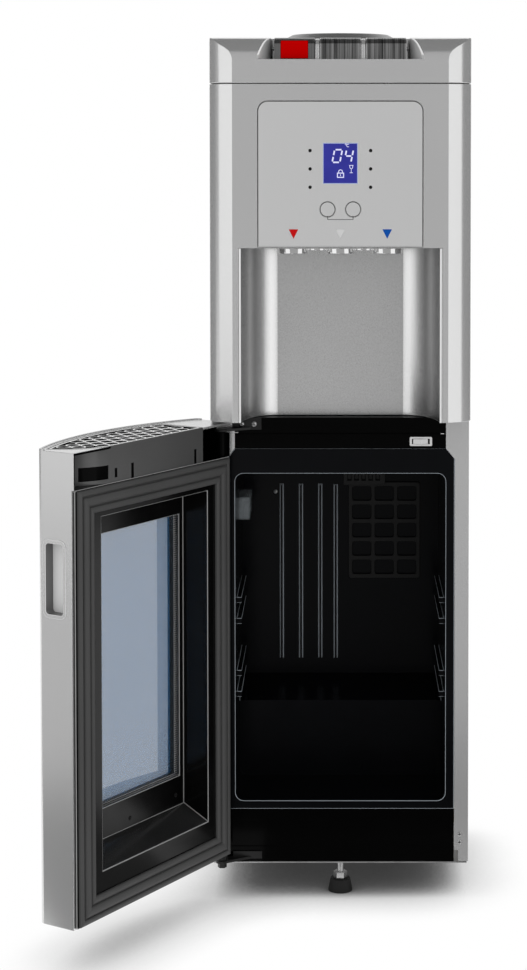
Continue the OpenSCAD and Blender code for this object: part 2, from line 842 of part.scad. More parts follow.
evap_w = 92;
evap_h = 125;
evap_x = 57;
evap_t = 4;
evap_r = 4;
evap_drop = 42;
evap_z = opening_top - evap_drop - evap_h / 2;
evap_cols = 3;
evap_rows = 5;
evap_bar = 4.4;
evap_sill = 5.2;
evap_cell_r = 3;
module evaporator_cover() color("#101113") {
    cell_w = (evap_w - (evap_cols + 1) * evap_bar) / evap_cols;
    cell_h = (evap_h - (evap_rows + 1) * evap_sill) / evap_rows;
    translate([evap_x, 0, evap_z]) difference() {
        along_y(back_y - evap_t, evap_t) rounded_rect(evap_w, evap_h, evap_r);
        for (c = [0:evap_cols - 1], r = [0:evap_rows - 1])
            translate([(c - (evap_cols - 1) / 2) * (cell_w + evap_bar), 0,
                       (r - (evap_rows - 1) / 2) * (cell_h + evap_sill)])
                along_y(back_y - evap_t - cut, evap_t + 2 * cut) rounded_rect(cell_w, cell_h, evap_cell_r);
    }
}

module lamp_cover() color("#dfe5ea") {
    translate([-opening_w / 2, yc + lamp_in, lamp_z]) difference() {
        block(0, lamp_out, -lamp_l / 2, lamp_l / 2, -lamp_h / 2, lamp_h / 2);
        block(-cut, lamp_out - lamp_wall, lamp_wall - lamp_l / 2, lamp_l / 2 - lamp_wall,
              lamp_wall - lamp_h / 2, lamp_h / 2 - lamp_wall);
    }
}

fan_x = 4;
fan_w = 53;
fan_h = 36;
fan_d = 50;
fan_back = 12;
slot_n = 5;
slot_w = 5;
slot_pitch = 9;
slot_in = 5;
slot_t = 4;
slot_foot = 6;
slot_head = 8;
module fan_housing() color("#141517") {
    y0 = back_y - fan_back - fan_d;
    difference() {
        block(fan_x, fan_x + fan_w, y0, y0 + fan_d, opening_top - fan_h, opening_top);
        for (k = [0:slot_n - 1]) translate([fan_x + slot_in + k * slot_pitch, 0, opening_top])
            block(0, slot_w, y0 - cut, y0 + slot_t, slot_foot - fan_h, -slot_head);
    }
}

kick_z1 = lf_z0 - gap;
kick_lines = [19, 50];
kick_cut = 0.6;
kick_sill = 14;
module kick_plate() color(black) {
    difference() {
        block(gap - hw + flange_w, hw - flange_w - gap, yc, yc + liner_t, panel_foot, kick_z1);
        for (z = kick_lines) translate([0, 0, panel_foot + z])
            block(-big, big, yc - cut, yc + kick_cut, -line_h / 2, line_h / 2);
    }
    block(gap - hw + flange_w, hw - flange_w - gap, yc, yc + kick_sill, panel_foot, panel_foot + liner_t);
}

pan_t = 1.5;
pan_side = hw - sheet - gap;
foot_y = yc + foot_in;
pan_front = 16;
pan_edge = 16;
stem_wall = 6;
stem_boss = 9;
comp_x = -20;
comp_back = 4;
comp_y = yr - comp_back - comp_d / 2;
comp_foot_x = 51;
comp_foot_y = 34;
module base_pan() color(steel) {
    difference() {
        union() {
            block(-pan_side, pan_side, yc, yr, base_z, base_z + pan_t);
            for (s = [-1, 1])
                block(s > 0 ? pan_side - pan_t : -pan_side, s > 0 ? pan_side : pan_t - pan_side,
                      yc + pan_front, yr, base_z, base_z + pan_edge);
            translate([0, foot_y, base_z]) cylinder(d = stem_d + 2 * stem_wall, h = stem_boss);
        }
        translate([0, foot_y, base_z - cut]) cylinder(r = stem_d / 2 + run, h = stem_boss + 2 * cut);
    }
}

nut_w = 17;
nut_h = 8;
foot_taper = 3;
stem_up = 20;
module front_foot() color("#1b1c1e") {
    translate([0, foot_y, 0]) cylinder(d1 = foot_d, d2 = foot_d - 2 * foot_taper, h = foot_h);
}
module foot_stem() color("#c9ccce") {
    translate([0, foot_y, foot_h]) {
        cylinder(d = nut_w, h = nut_h, $fn = 6);
        cylinder(d = stem_d, h = base_z + stem_up - foot_h);
    }
}
rear_foot_side = 35;
rear_foot_back = 25;
rear_taper = 2;
rear_foot_x = hw - rear_foot_side;
rear_foot_y = yr - rear_foot_back;
module rear_feet() color("#1b1c1e") {
    for (s = [-1, 1]) translate([s * rear_foot_x, rear_foot_y, 0])
        cylinder(d1 = rear_foot_d, d2 = rear_foot_d - 2 * rear_taper, h = base_z);
}

grommet_h = 10;
grommet_d = 16;
comp_plate = 10;
comp_plate_t = 3;
comp_base = 8;
comp_curve = 10;
comp_seam = 70;
comp_seam_h = 6;
comp_flange = 2;
dome_n = 6;
module at_comp_feet() {
    for (sx = [-1, 1], sy = [-1, 1])
        translate([comp_x + sx * comp_foot_x, comp_y + sy * comp_foot_y, base_z + pan_t]) children();
}
module compressor_grommets() color("#202124") at_comp_feet() cylinder(d = grommet_d, h = grommet_h);
module compressor() color("#222326") {
    z0 = base_z + pan_t + grommet_h;
    dome_z = comp_seam + comp_seam_h;
    translate([comp_x, comp_y, 0])
        block(-comp_foot_x - comp_plate, comp_foot_x + comp_plate, -comp_foot_y - comp_plate,
              comp_foot_y + comp_plate, z0, z0 + comp_plate_t);
    translate([comp_x, comp_y, z0]) rotate_extrude($fn = 72)
        polygon(concat([[0, 0], [comp_d / 2 - comp_base, 0], [comp_d / 2, comp_curve], [comp_d / 2, comp_seam],
            [comp_d / 2 + comp_flange, comp_seam], [comp_d / 2 + comp_flange, dome_z]],
            [for (k = [0:dome_n]) let (a = 90 * k / dome_n)
                [comp_d / 2 * cos(a), dome_z + (comp_h - dome_z) * sin(a)]]));
}

// Rear: panel, switches, condenser

rear_w = 2 * (hw - sheet - gap / 3);
rear_rise = 6;
rear_z0 = bay_z + rear_rise;
vent_n = 9;
vent_x = 70;
vent_drop = 130;
vent_pitch = 12;
vent_w = 76;
vent_h = 5;
rs_w = 15;
rs_h = 26;
rs_drop = 60;
rs_z = seam_z - rs_drop;
rs_x = [70, 96];
rs_wall = 2.5;
rs_d = 16;
rs_pin = 3;
rs_play = 1.2;
rs_lip = 1.5;
rs_in = 5;
rs_trim = 0.6;
rs_back = 4;
rs_heel = 5;
rs_shoulder = 4;
rs_low = 7.5;
rs_dip = 6;
rs_high = 9.5;
drain_rise = 40;
drain_z = fascia_z + drain_rise;
drain_d = 16;
drain_tube_d = 10;
plug_l = 30;
plug_d = 24;
plug_h = 9;
plug_room = 20;
gland_d = 12;
gland_head = 18;
gland_out = 6;
gland_bore = 7.5;
gland_x = -110;
gland_rise = 40;
gland_z = rear_z0 + gland_rise;

module at_rear_switches() {
    for (x = rs_x) translate([x, yr, rs_z]) children();
}
module rear_panel() color("#8e9194") {
    difference() {
        union() {
            block(-rear_w / 2, rear_w / 2, yr - sheet, yr, rear_z0, seam_z);
            at_rear_switches() block(-rs_w / 2 - rs_wall, rs_w / 2 + rs_wall, -rs_d, rs_lip,
                                     -rs_h / 2 - rs_wall, rs_h / 2 + rs_wall);
        }
        at_rear_switches() {
            block(-rs_w / 2 - gap, rs_w / 2 + gap, rs_wall - rs_d, rs_lip + cut,
                  -rs_h / 2 - rs_play, rs_h / 2 + rs_play);
            translate([-rs_w / 2 - rs_wall - cut, -rs_in, 0]) rotate([0, 90, 0])
                cylinder(r = rs_pin / 2 + run, h = rs_w + 2 * rs_wall + 2 * cut, $fn = 24);
        }
        for (k = [0:vent_n - 1], s = [-1, 1]) translate([s * vent_x, 0, seam_z - vent_drop - k * vent_pitch])
            block(-vent_w / 2, vent_w / 2, yr - sheet - cut, yr + cut, -vent_h / 2, vent_h / 2);
        translate([0, yr - sheet - cut, drain_z]) rotate([-90, 0, 0])
            cylinder(d = drain_d, h = sheet + 2 * cut);
        translate([gland_x, yr - sheet - cut, gland_z]) rotate([-90, 0, 0])
            cylinder(r = gland_d / 2 + run, h = sheet + 2 * cut);
    }
}
module rear_rocker(x) {
    pin_l = rs_w + 2 * rs_wall;
    end = rs_h / 2 - rs_trim;
    translate([x, yr - rs_in, rs_z]) {
        along_x(rs_w) polygon([[-rs_back, -rs_heel], [-rs_back, rs_heel], [rs_shoulder, end], [rs_low, end],
                               [rs_dip, 0], [rs_high, -end], [rs_shoulder, -end]]);
        translate([-pin_l / 2, 0, 0]) rotate([0, 90, 0]) cylinder(d = rs_pin, h = pin_l, $fn = 24);
    }
}
module hot_switch() color("#c02a2a") rear_rocker(rs_x[0]);
module cold_switch() color("#2f7a3c") rear_rocker(rs_x[1]);
module drain_plug() color("#e4e4e2") {
    translate([0, yr - plug_l, drain_z]) rotate([-90, 0, 0]) cylinder(d = drain_d - 2 * run, h = plug_l);
    translate([0, yr, drain_z]) rotate([-90, 0, 0]) cylinder(d = plug_d, h = plug_h);
}
module cord_gland() color("#1d1e20") {
    translate([gland_x, yr, gland_z]) rotate([-90, 0, 0]) difference() {
        union() {
            translate([0, 0, -sheet]) cylinder(d = gland_d, h = sheet);
            cylinder(d = gland_head, h = gland_out);
        }
        translate([0, 0, -sheet - cut]) cylinder(d = gland_bore, h = sheet + gland_out + 2 * cut);
    }
}

cond_off = 9;
cond_y = yr + cond_off;
cond_side = 35;
cond_w = body_w - 2 * cond_side;
cond_rise = 46;
cond_z0 = rear_z0 + cond_rise;
cond_pitch = (drain_z - cond_drop - cond_z0) / (cond_n - 1);
clip_d = 6;
clip_x = 72;
wire_in = 8;
wire_over = 8;
wire_lift = 0.1;
module condenser() color("#1e1f21") {
    span = (cond_n - 1) * cond_pitch;
    for (k = [0:cond_n - 1]) translate([-cond_w / 2, cond_y, cond_z0 + k * cond_pitch])
        rotate([0, 90, 0]) cylinder(d = cond_d, h = cond_w, $fn = 24);
    for (k = [0:cond_n - 2]) {
        s = k % 2 == 0 ? 1 : -1;
        translate([s * cond_w / 2, cond_y, cond_z0 + (k + 0.5) * cond_pitch]) rotate([90, -90 * s, 0])
            rotate_extrude(angle = 180, $fn = 36) translate([cond_pitch / 2, 0]) circle(d = cond_d, $fn = 24);
    }
    translate([-cond_w / 2, cond_y, cond_z0]) sphere(d = cond_d, $fn = 24);
    for (k = [0:wire_n - 1]) {
        x = wire_in - cond_w / 2 + k * (cond_w - 2 * wire_in) / (wire_n - 1);
        translate([x, cond_y + cond_d / 2 + wire_d / 2 + wire_lift, cond_z0 - wire_over])
            cylinder(d = wire_d, h = span + 2 * wire_over, $fn = 16);
    }
    for (sx = [-1, 1], k = [0, cond_n - 1])
        translate([sx * clip_x, yr, cond_z0 + k * cond_pitch]) rotate([-90, 0, 0])
            cylinder(d = clip_d, h = cond_off, $fn = 24);
}

// Tanks and hoses

foam_front = 17;
foam_back = 2;
foam_wall = 26;
foam_lid = 2;
eps_front = bottle_y - tank_d / 2 - foam_front;
eps_back = yr - rs_d - foam_back;
eps_half = tank_d / 2 + foam_wall;
eps_z0 = fascia_z - gap;
tank_head = 8;
tank_z1 = seam_z - tank_head;
tank_z0 = tank_z1 - tank_h;
tank_wall = 2;
nozzle_d = hose_d - 2 * barb_step;
nozzle_root = 0.6;
hot_lift = 12;
hot_z0 = eps_z0 + hot_lift;
hot_room = 33;
hot_play = 7;
band_low = 39;
band_h = 32;
band_t = 3;
leg_n = 3;
leg_in = 12;
leg_d = 8;
hot_nozzle_x = -30;
hot_nozzle_drop = 24;
hot_nozzle_z = hot_z0 + hot_h - hot_nozzle_drop;
hot_nozzle_y = bottle_y - sqrt(pow(hot_d / 2, 2) - pow(hot_nozzle_x, 2));
nozzle_len = 22;
tap_back = yf + tap_in + tap_d / 2 + barb_len;
hose_play = 3;
hose_hole = hose_d + 2 * hose_play;
function tank_face(x) = bottle_y - sqrt(pow(tank_d / 2 + tank_wall, 2) - x * x);

module cold_tank() color("#c8ccd0") {
    translate([0, bottle_y, tank_z0]) difference() {
        cylinder(d = tank_d + 2 * tank_wall, h = tank_h, $fn = 96);
        translate([0, 0, tank_wall]) cylinder(d = tank_d, h = tank_h, $fn = 96);
    }
    for (x = [0, tap_pitch]) translate([x, tank_face(x) - nozzle_len / 2, barb_z]) rotate([-90, 0, 0])
        cylinder(d = nozzle_d, h = nozzle_len / 2 + nozzle_root, $fn = 24);
}
module tank_insulation() color("#f0f0ee") {
    difference() {
        block(-eps_half, eps_half, eps_front, eps_back, eps_z0, tank_z1 - foam_lid);
        translate([0, bottle_y, tank_z0])
            cylinder(d = tank_d + 2 * tank_wall + 2 * gap, h = tank_h + cut, $fn = 96);
        translate([0, bottle_y, eps_z0 - cut])
            cylinder(d = hot_d + 2 * hot_play, h = hot_h + hot_room + cut, $fn = 96);
        for (x = [0, tap_pitch]) translate([x, eps_front - cut, barb_z]) rotate([-90, 0, 0])
            cylinder(d = hose_hole, h = tank_d / 2 + foam_front);
        translate([hot_nozzle_x, eps_front - cut, hot_nozzle_z]) rotate([-90, 0, 0])
            cylinder(d = hose_hole, h = bottle_y - eps_front);
        translate([0, bottle_y, drain_z]) rotate([-90, 0, 0]) cylinder(d = plug_room, h = big);
    }
}
module hot_tank() color("#c2c6c9") {
    translate([0, bottle_y, hot_z0]) {
        difference() {
            union() {
                cylinder(d = hot_d, h = hot_h, $fn = 72);
                translate([0, 0, band_low]) cylinder(d = hot_d + 2 * band_t, h = band_h, $fn = 72);
            }
            translate([0, 0, tank_wall])
                cylinder(d = hot_d - 2 * tank_wall, h = hot_h - 2 * tank_wall, $fn = 72);
        }
        for (k = [0:leg_n - 1]) rotate(360 * k / leg_n) translate([hot_d / 2 - leg_in, 0, -hot_lift])
            cylinder(d = leg_d, h = hot_lift + tank_wall / 2);
    }
    translate([hot_nozzle_x, hot_nozzle_y - nozzle_len, hot_nozzle_z]) rotate([-90, 0, 0])
        cylinder(d = nozzle_d, h = nozzle_len + tank_wall / 2, $fn = 24);
    translate([0, bottle_y + hot_d / 2 - tank_wall / 2, drain_z]) rotate([-90, 0, 0])
        cylinder(d = drain_tube_d, h = yr - plug_l - bottle_y - hot_d / 2 + tank_wall / 2, $fn = 24);
}

hose_n = 8;
drop_y = yf + alcove_d + alcove_t + (eps_front - yf - alcove_d - alcove_t) / 2;
hose_bend = 12;
bend_n = 4;
bend_a = 90 / bend_n;
route_n = 6;
hot_end = hot_nozzle_y - nozzle_len;
hot_route = concat(
    [[-tap_pitch, tap_back, barb_z]],
    [for (k = [0:bend_n]) [-tap_pitch, drop_y - hose_bend + hose_bend * sin(bend_a * k),
                           barb_z - hose_bend + hose_bend * cos(bend_a * k)]],
    [for (k = [0:route_n]) let (u = k / route_n)
        [-tap_pitch + (hot_nozzle_x + tap_pitch) * u * u * (3 - 2 * u), drop_y,
         barb_z - 2 * hose_bend + (hot_nozzle_z + 2 * hose_bend - barb_z + hose_bend) * u]],
    [for (k = [1:bend_n]) [hot_nozzle_x, drop_y + hose_bend - hose_bend * cos(bend_a * k),
                           hot_nozzle_z + hose_bend - hose_bend * sin(bend_a * k)]],
    [[hot_nozzle_x, hot_end, hot_nozzle_z]]);
module water_hoses() color("#dfe3e6") {
    for (x = [0, tap_pitch])
        translate([x, tap_back, barb_z]) rotate([-90, 0, 0])
            cylinder(d = hose_d, h = tank_face(x) - nozzle_len / 2 - tap_back, $fn = 24);
    swept(hot_route, hose_d / 2, hose_n);
}

guard_lip = 3;
guard_depth = 34;
guard_shoulder = 17;
guard_edge = 2;
skirt_drop = 14;
skirt_play = 1;
cup_floor = 3;
cup_step = 2;
seat_depth = 10;
seat_slope = 6;
spike_d = 12;
spike_bore = 6;
spike_out = 10;
spike_root = 4;
module bottle_guard() color("#c9cbcd") {
    r1 = guard_d / 2;
    r0 = seat_d / 2;
    z1 = body_h + gap;
    z2 = z1 + guard_rise;
    zf = z1 - guard_depth;
    skirt_r = guard_hole_d / 2 - skirt_play;
    translate([0, bottle_y, 0]) rotate_extrude($fn = 96)
        polygon([[r0, z2 - guard_edge], [r0 + seat_slope, z2], [r1 - guard_shoulder, z2],
                 [r1, z1 + guard_edge], [r1, z1], [skirt_r, z1], [skirt_r, z1 - skirt_drop],
                 [skirt_r - wall, z1 - skirt_drop], [skirt_r - wall, z1 + cut],
                 [r0 + guard_lip + cup_step, z1 + guard_edge], [r0 + guard_lip, zf], [spike_d / 2, zf],
                 [spike_d / 2, zf - spike_out], [spike_bore / 2, zf - spike_out],
                 [spike_bore / 2, z1 - seat_depth - cup_floor], [spike_d / 2, zf + spike_root],
                 [r0 - cup_step, zf + cup_floor], [r0 - cup_step, z1 - seat_depth], [r0, z1 - seat_depth]]);
}

// Door, drawn closed and then swung open about the hinge axis

door_y0 = yc - gap;
function dy(t) = door_y0 - t;
door_w = body_w - 2 * door_inset;
dhw = door_w / 2;
axis_x = hinge_in - dhw;
axis_y = yc - hinge_out;
door_z = base_z + door_lift;
door_top = upper_z - door_head;
deck_t = 3;
pocket_z = door_top - pocket_h;
plate_t = 3;
frame_back = gasket_t + plate_t;
pocket_back = gasket_t;
bow_r = (dhw * dhw + bow * bow) / (2 * bow);
bow_cy = dy(door_edge + bow) + bow_r;
corner_x = dhw - door_r;
corner_y = bow_cy - sqrt(pow(bow_r - door_r, 2) - corner_x * corner_x);
corner_a = atan2(corner_y - bow_cy, corner_x);
bow_n = 24;
corner_n = 5;

function arc(cx, cy, r, a0, a1, n) = [for (k = [0:n]) let (a = a0 + (a1 - a0) * k / n)
    [cx + r * cos(a), cy + r * sin(a)]];
function door_outline(i, t_back) = concat([[dhw - i, dy(t_back)]],
    arc(corner_x, corner_y, door_r - i, 0, corner_a, corner_n),
    arc(0, bow_cy, bow_r - i, corner_a - eps, eps - 180 - corner_a, bow_n),
    arc(-corner_x, corner_y, door_r - i, -180 - corner_a, -180, corner_n),
    [[i - dhw, dy(t_back)]]);

module swing() {
    translate([axis_x, axis_y, 0]) rotate(-door_open) translate([-axis_x, -axis_y, 0]) children();
}
module door_slab(i, t_back, z0, z1) {
    translate([0, 0, z0]) linear_extrude(z1 - z0) polygon(door_outline(i, t_back));
}

win_z0 = door_z + window_lift;
win_z1 = pocket_z - window_drop;
reveal_side = 8;
reveal_w = window_w + 2 * reveal_side;
reveal_t = 41;
tub_t = 3;
glass_edge = 6;
pane_y = reveal_t + tub_t;
unit_t = 2 * glass_t + spacer_t;
boss_d = 2 * hinge_in;
bush_h = 22;
tongue_t = 3;
tongue_drop = 15;
tongue_z = upper_z - tongue_drop;
pin_len = 20;
pin_up = 15;
pin_end = 4;
notch_front = 9;
notch_low = 1.5;
lip_back = 7;
grip_drop = 140;
grip_z = door_top - grip_drop;
grip_t = 32;
grip_r = 8;
grip_rim = 2;
grip_wall = 2;
grip_face = 0.8;
tray_t0 = 5;

module window_box(i, z0, z1, y0, y1) {
    block(-window_w / 2 - i, window_w / 2 + i, y0, y1, z0 - i, z1 + i);
}

module tray_plan(i) {
    k = i - tray_inset;
    x1 = dhw - i;
    yb = dy(tray_t0 + k);
    cx = x1 - tray_r + k;
    cy = yb - tray_r + k;
    intersection() {
        translate([0, bow_cy]) circle(bow_r - i, $fn = 180);
        union() {
            translate([tray_x0 + k, -big]) square([cx - tray_x0 - k, big + yb]);
            translate([cx, -big]) square([x1 - cx, big + cy]);
            translate([cx, cy]) circle(tray_r - k, $fn = 96);
        }
    }
}

module door_frame() color(silver) swing() {
    difference() {
        union() {
            difference() {
                union() {
                    door_slab(0, frame_back, door_z, pocket_z);
                    door_slab(0, pocket_back, pocket_z, door_top);
                }
                door_slab(door_wall, -cut, door_z + door_wall, pocket_z - door_wall);
                door_slab(door_wall, -cut, pocket_z, door_top - deck_t);
            }
            difference() {
                door_slab(0, door_edge - lip_back, door_top - cut, door_top + lip_h);
                door_slab(door_wall, -cut, door_top - 2 * cut, door_top + lip_h + cut);
            }
            intersection() {
                door_slab(0, frame_back, door_z, door_top);
                union() {
                    window_box(door_wall, win_z0, win_z1, -big, dy(pane_y + unit_t));
                    translate([axis_x, axis_y, door_z]) cylinder(d = boss_d, h = bush_h);
                    translate([axis_x, axis_y, pocket_z - cut])
                        cylinder(d = boss_d, h = tongue_z - gap - pocket_z + cut);
                }
            }
        }
        window_box(0, win_z0, win_z1, -big, dy(-cut));
        translate([0, 0, door_top - deck_t - cut]) linear_extrude(deck_t + 2 * cut) tray_plan(tray_inset);
        block(-dhw - cut, door_wall - dhw + cut, axis_y - notch_front, yc,
              tongue_z - notch_low, door_top - deck_t);
        translate([axis_x, axis_y, door_z - cut]) cylinder(r = pin_d / 2 + run, h = pin_up + pin_end);
        translate([axis_x, axis_y, tongue_z - pin_len - pin_end])
            cylinder(r = pin_d / 2 + run, h = 2 * pin_len);
        translate([dhw - door_wall - cut, 0, 0]) grip_block(door_wall + 2 * cut, grip_rim);
    }
}

module grip_block(w, i) {
    translate([0, dy(grip_t), grip_z]) rotate([90, 0, 90]) linear_extrude(w)
        rounded_rect(grip_w - 2 * i, grip_h - 2 * i, grip_r - i);
}
module handle_cup() color("#8f9194") swing() {
    translate([dhw, 0, 0]) difference() {
        union() {
            grip_block(grip_face, 0);
            translate([-grip_d, 0, 0]) grip_block(grip_d + grip_face / 2, grip_rim + gap / 3);
        }
        translate([grip_wall - grip_d, 0, 0]) grip_block(grip_d, grip_rim + grip_wall);
    }
}

inner_side = 2;
inner_w = door_w - 2 * inner_side;
inner_r = 3;
panel_lift = 1;
panel_bottom = door_z + panel_lift;
reveal_low = 52;
reveal_z0 = win_z0 - reveal_low;
reveal_high = 30;
reveal_z1 = win_z1 + reveal_high;
reveal_rise = 17;
module reveal_form(i, t1) {
    along_x(reveal_w + 2 * i) polygon([[dy(-cut), reveal_z0 - i], [dy(gasket_t), reveal_z0 - i],
        [dy(t1), reveal_z0 + reveal_rise - i], [dy(t1), reveal_z1 + i], [dy(-cut), reveal_z1 + i]]);
}
module door_inner_panel() color(black) swing() {
    difference() {
        union() {
            along_y(dy(frame_back), plate_t) translate([0, (panel_bottom + pocket_z) / 2])
                rounded_rect(inner_w, pocket_z - panel_bottom, inner_r);
            intersection() {
                reveal_form(tub_t, reveal_t + tub_t);
                block(-big, big, -big, dy(gasket_t), 0, big);
            }
        }
        reveal_form(0, reveal_t);
        window_box(0, win_z0, win_z1, dy(pane_y + cut), dy(reveal_t - cut));
    }
}

gasket_w = 2 * (dhw - hinge_in);
gasket_in = 27;
groove = 1.6;
groove_d = 1.8;
groove_at = [8.1, 16.7];
groove_r = 4;
gasket_r = 5;
gasket_free = 3;
gasket_h = pocket_z - panel_bottom - gasket_free;
module ring_plan(i, w, r) {
    translate([0, (panel_bottom + pocket_z) / 2]) difference() {
        rounded_rect(gasket_w - 2 * i, gasket_h - 2 * i, r);
        rounded_rect(gasket_w - 2 * i - 2 * w, gasket_h - 2 * i - 2 * w, r - cut);
    }
}
module door_gasket() color("#3b3d40") swing() {
    difference() {
        along_y(dy(gasket_t), gasket_t) ring_plan(0, gasket_in, gasket_r);
        for (k = groove_at) along_y(dy(groove_d), groove_d + cut) ring_plan(k, groove, groove_r);
    }
}

module pane(t) {
    window_box(glass_edge, win_z0, win_z1, dy(t + glass_t), dy(t));
}
module inner_glass() color("#a9b8c6") swing() pane(pane_y);
module outer_glass() color("#8fa3b6") swing() pane(pane_y + glass_t + spacer_t);
spacer_set = 1;
spacer_show = 1.5;
module glass_spacer() color("#c3c6c9") swing() {
    t0 = pane_y + glass_t;
    difference() {
        window_box(glass_edge - spacer_set, win_z0, win_z1, dy(t0 + spacer_t), dy(t0));
        window_box(-spacer_show, win_z0, win_z1, dy(t0 + spacer_t + cut), dy(t0 - cut));
    }
}

tray_gap = 0.6;
tray_i = tray_inset + tray_gap;
grille_seat = 2;
grille_z = door_top - grille_t;
grille_play = 0.4;
grille_i = tray_i + tray_wall + grille_play;
mark_t = 1.2;
mark_z = 5;
slot_x = 86;
slot_l = 35;
slot_h = 15;
clip_at = 70;
clip_w = 5;
clip_h = 10;
notch_at = [-80, 40];
notch_w = 5;
notch_h = 17;
// Marks pressed into the tray's rear wall: a lifting slot, a clip and two notches
module tray_marks() {
    intersection() {
        translate([0, 0, pocket_z - cut]) linear_extrude(pocket_h) difference() {
            tray_plan(tray_i - cut);
            tray_plan(tray_i + mark_t);
        }
        translate([0, 0, pocket_z]) {
            block(slot_x, slot_x + slot_l, dy(door_edge), yc, mark_z, mark_z + slot_h);
            block(clip_at, clip_at + clip_w, dy(door_edge), yc, mark_z, mark_z + clip_h);
            for (x = notch_at) block(x, x + notch_w, dy(door_edge), yc, -cut, notch_h);
        }
    }
}
module drip_tray() color("#26272a") swing() {
    difference() {
        translate([0, 0, pocket_z]) linear_extrude(door_top - pocket_z) tray_plan(tray_i);
        translate([0, 0, pocket_z + tray_wall]) linear_extrude(pocket_h)
            tray_plan(tray_i + tray_wall + grille_seat);
        translate([0, 0, grille_z]) linear_extrude(grille_t + cut) tray_plan(tray_i + tray_wall);
        tray_marks();
    }
}

// Rings in rows, each touching its neighbours; one is kept where it lies inside the grille's outline
grille_rim = 2.4;
ring_d = hole_d + 2 * ring_w;
ring_rows = 7;
ring_cols = 10;
ring_i = grille_i + ring_d / 2;
function ring_fits(x, y) = let (k = ring_i - tray_inset, x1 = dhw - ring_i, yb = dy(tray_t0 + k) + eps)
    norm([x, y - bow_cy]) < bow_r - ring_i && x > tray_x0 + k && x < x1 && y < yb
    && (x < x1 - tray_r + k || y < yb - tray_r + k
        || norm([x - x1 + tray_r - k, y - yb + tray_r - k]) < tray_r - k);
row_pitch = hole_pitch * sqrt(3) / 2;
ring_spots = [for (r = [0:ring_rows - 1], c = [-ring_cols:ring_cols])
    let (x = hole_pitch * (c + (r % 2) / 2), y = dy(tray_t0 + ring_i - tray_inset) - r * row_pitch)
    if (ring_fits(x, y)) [x, y]];
module drip_grille() color(chrome) swing() {
    translate([0, 0, grille_z]) linear_extrude(grille_t) difference() {
        tray_plan(grille_i);
        difference() {
            tray_plan(grille_i + grille_rim);
            for (p = ring_spots) translate(p) circle(d = ring_d, $fn = 32);
        }
        for (p = ring_spots) translate(p) circle(d = hole_d, $fn = 32);
    }
}

// Hinge brackets: a flange on the cabinet front and a tongue that carries the pin

bracket_t = 2.5;
top_flange_h = 14.5;
low_drop = 10;
low_z = door_z - low_drop;
low_flange_h = 9;
low_nut_d = 11;
low_nut_h = 6;
tongue_r = 8;
tongue_to = 22;
tongue_side = 3;
screw_head = 7;
screw_top = 5;
screw_head_h = 2;
screw_from = 11;
screw_to = 9;
screw_z = tongue_z + tongue_t + screw_head / 2 + gap;
module at_hinge_screws() {
    for (x = [hinge_x0 + screw_from, hinge_x1 - screw_to]) translate([x, yc, screw_z])
        rotate([-90, 0, 0]) children();
}
module tongue(z) {
    translate([axis_x, axis_y, z]) cylinder(r = tongue_r, h = tongue_t);
    translate([0, 0, z]) linear_extrude(tongue_t)
        polygon([[axis_x, axis_y - tongue_r], [hinge_x0 + tongue_to, yc - bracket_t],
                 [hinge_x0 + tongue_to, yc], [hinge_x0, yc], [axis_x - tongue_side, axis_y + tongue_r - cut]]);
}
module top_hinge_bracket() color("#2a2b2e") {
    difference() {
        union() {
            block(hinge_x0, hinge_x1, yc - bracket_t, yc, tongue_z, tongue_z + top_flange_h);
            tongue(tongue_z);
            translate([axis_x, axis_y, tongue_z - pin_len]) cylinder(d = pin_d, h = pin_len + cut);
        }
        at_hinge_screws() translate([0, 0, -bracket_t - cut])
            cylinder(r = screw_d / 2 + run, h = bracket_t + 2 * cut);
    }
}
module bottom_hinge_bracket() color("#2a2b2e") {
    block(hinge_x0, hinge_x1, yc - bracket_t, yc, low_z, low_z + low_flange_h);
    tongue(low_z);
    translate([axis_x, axis_y, low_z - low_nut_h]) cylinder(d = low_nut_d, h = low_nut_h + eps, $fn = 6);
    translate([axis_x, axis_y, low_z]) cylinder(d = low_nut_d, h = low_drop - gap);
    translate([axis_x, axis_y, low_z]) cylinder(d = pin_d, h = low_drop + pin_up);
}
module hinge_screws() color("#d6d8da") {
    at_hinge_screws() {
        translate([0, 0, -bracket_t - screw_head_h])
            cylinder(d1 = screw_top, d2 = screw_head, h = screw_head_h);
        translate([0, 0, -bracket_t]) cylinder(d = screw_d, h = bracket_t + wall);
    }
}

base_pan();
left_side_panel();
right_side_panel();
rear_panel();
condenser();
compressor();
compressor_grommets();
front_foot();
foot_stem();
rear_feet();
fridge_liner();
insulation_foam();
evaporator_cover();
lamp_cover();
fan_housing();
fascia();
kick_plate();
switch_bezel();
light_rocker();
top_hinge_bracket();
bottom_hinge_bracket();
hinge_screws();
front_housing();
alcove_liner();
spout_shroud();
tap_bodies();
hot_push_rod();
room_push_rod();
cold_push_rod();
top_cover();
button_pivot_rod();
hot_button();
room_button();
cold_button();
hot_safety();
control_panel();
display_window();
select_key();
custom_key();
indicator_lenses();
tap_markers();
control_board();
cold_tank();
tank_insulation();
hot_tank();
water_hoses();
bottle_guard();
hot_switch();
cold_switch();
drain_plug();
cord_gland();
door_frame();
door_inner_panel();
door_gasket();
outer_glass();
inner_glass();
glass_spacer();
handle_cup();
drip_tray();
drip_grille();
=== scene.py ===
# %% [markdown]
# # A water cooler with a chilled cabinet
# The machine stands in one frame with its CAD solids: metres, +Z up, the front faces -Y, and the
# origin lies on the floor under the front foot. The solids are exact but hard-edged, so this lesson
# gives them rounded edges, finishes and the small pieces that a maker would add last.

# %% Load the frame and keep its box
import bpy
import bmesh
import json
import math
from mathutils import Matrix, Vector

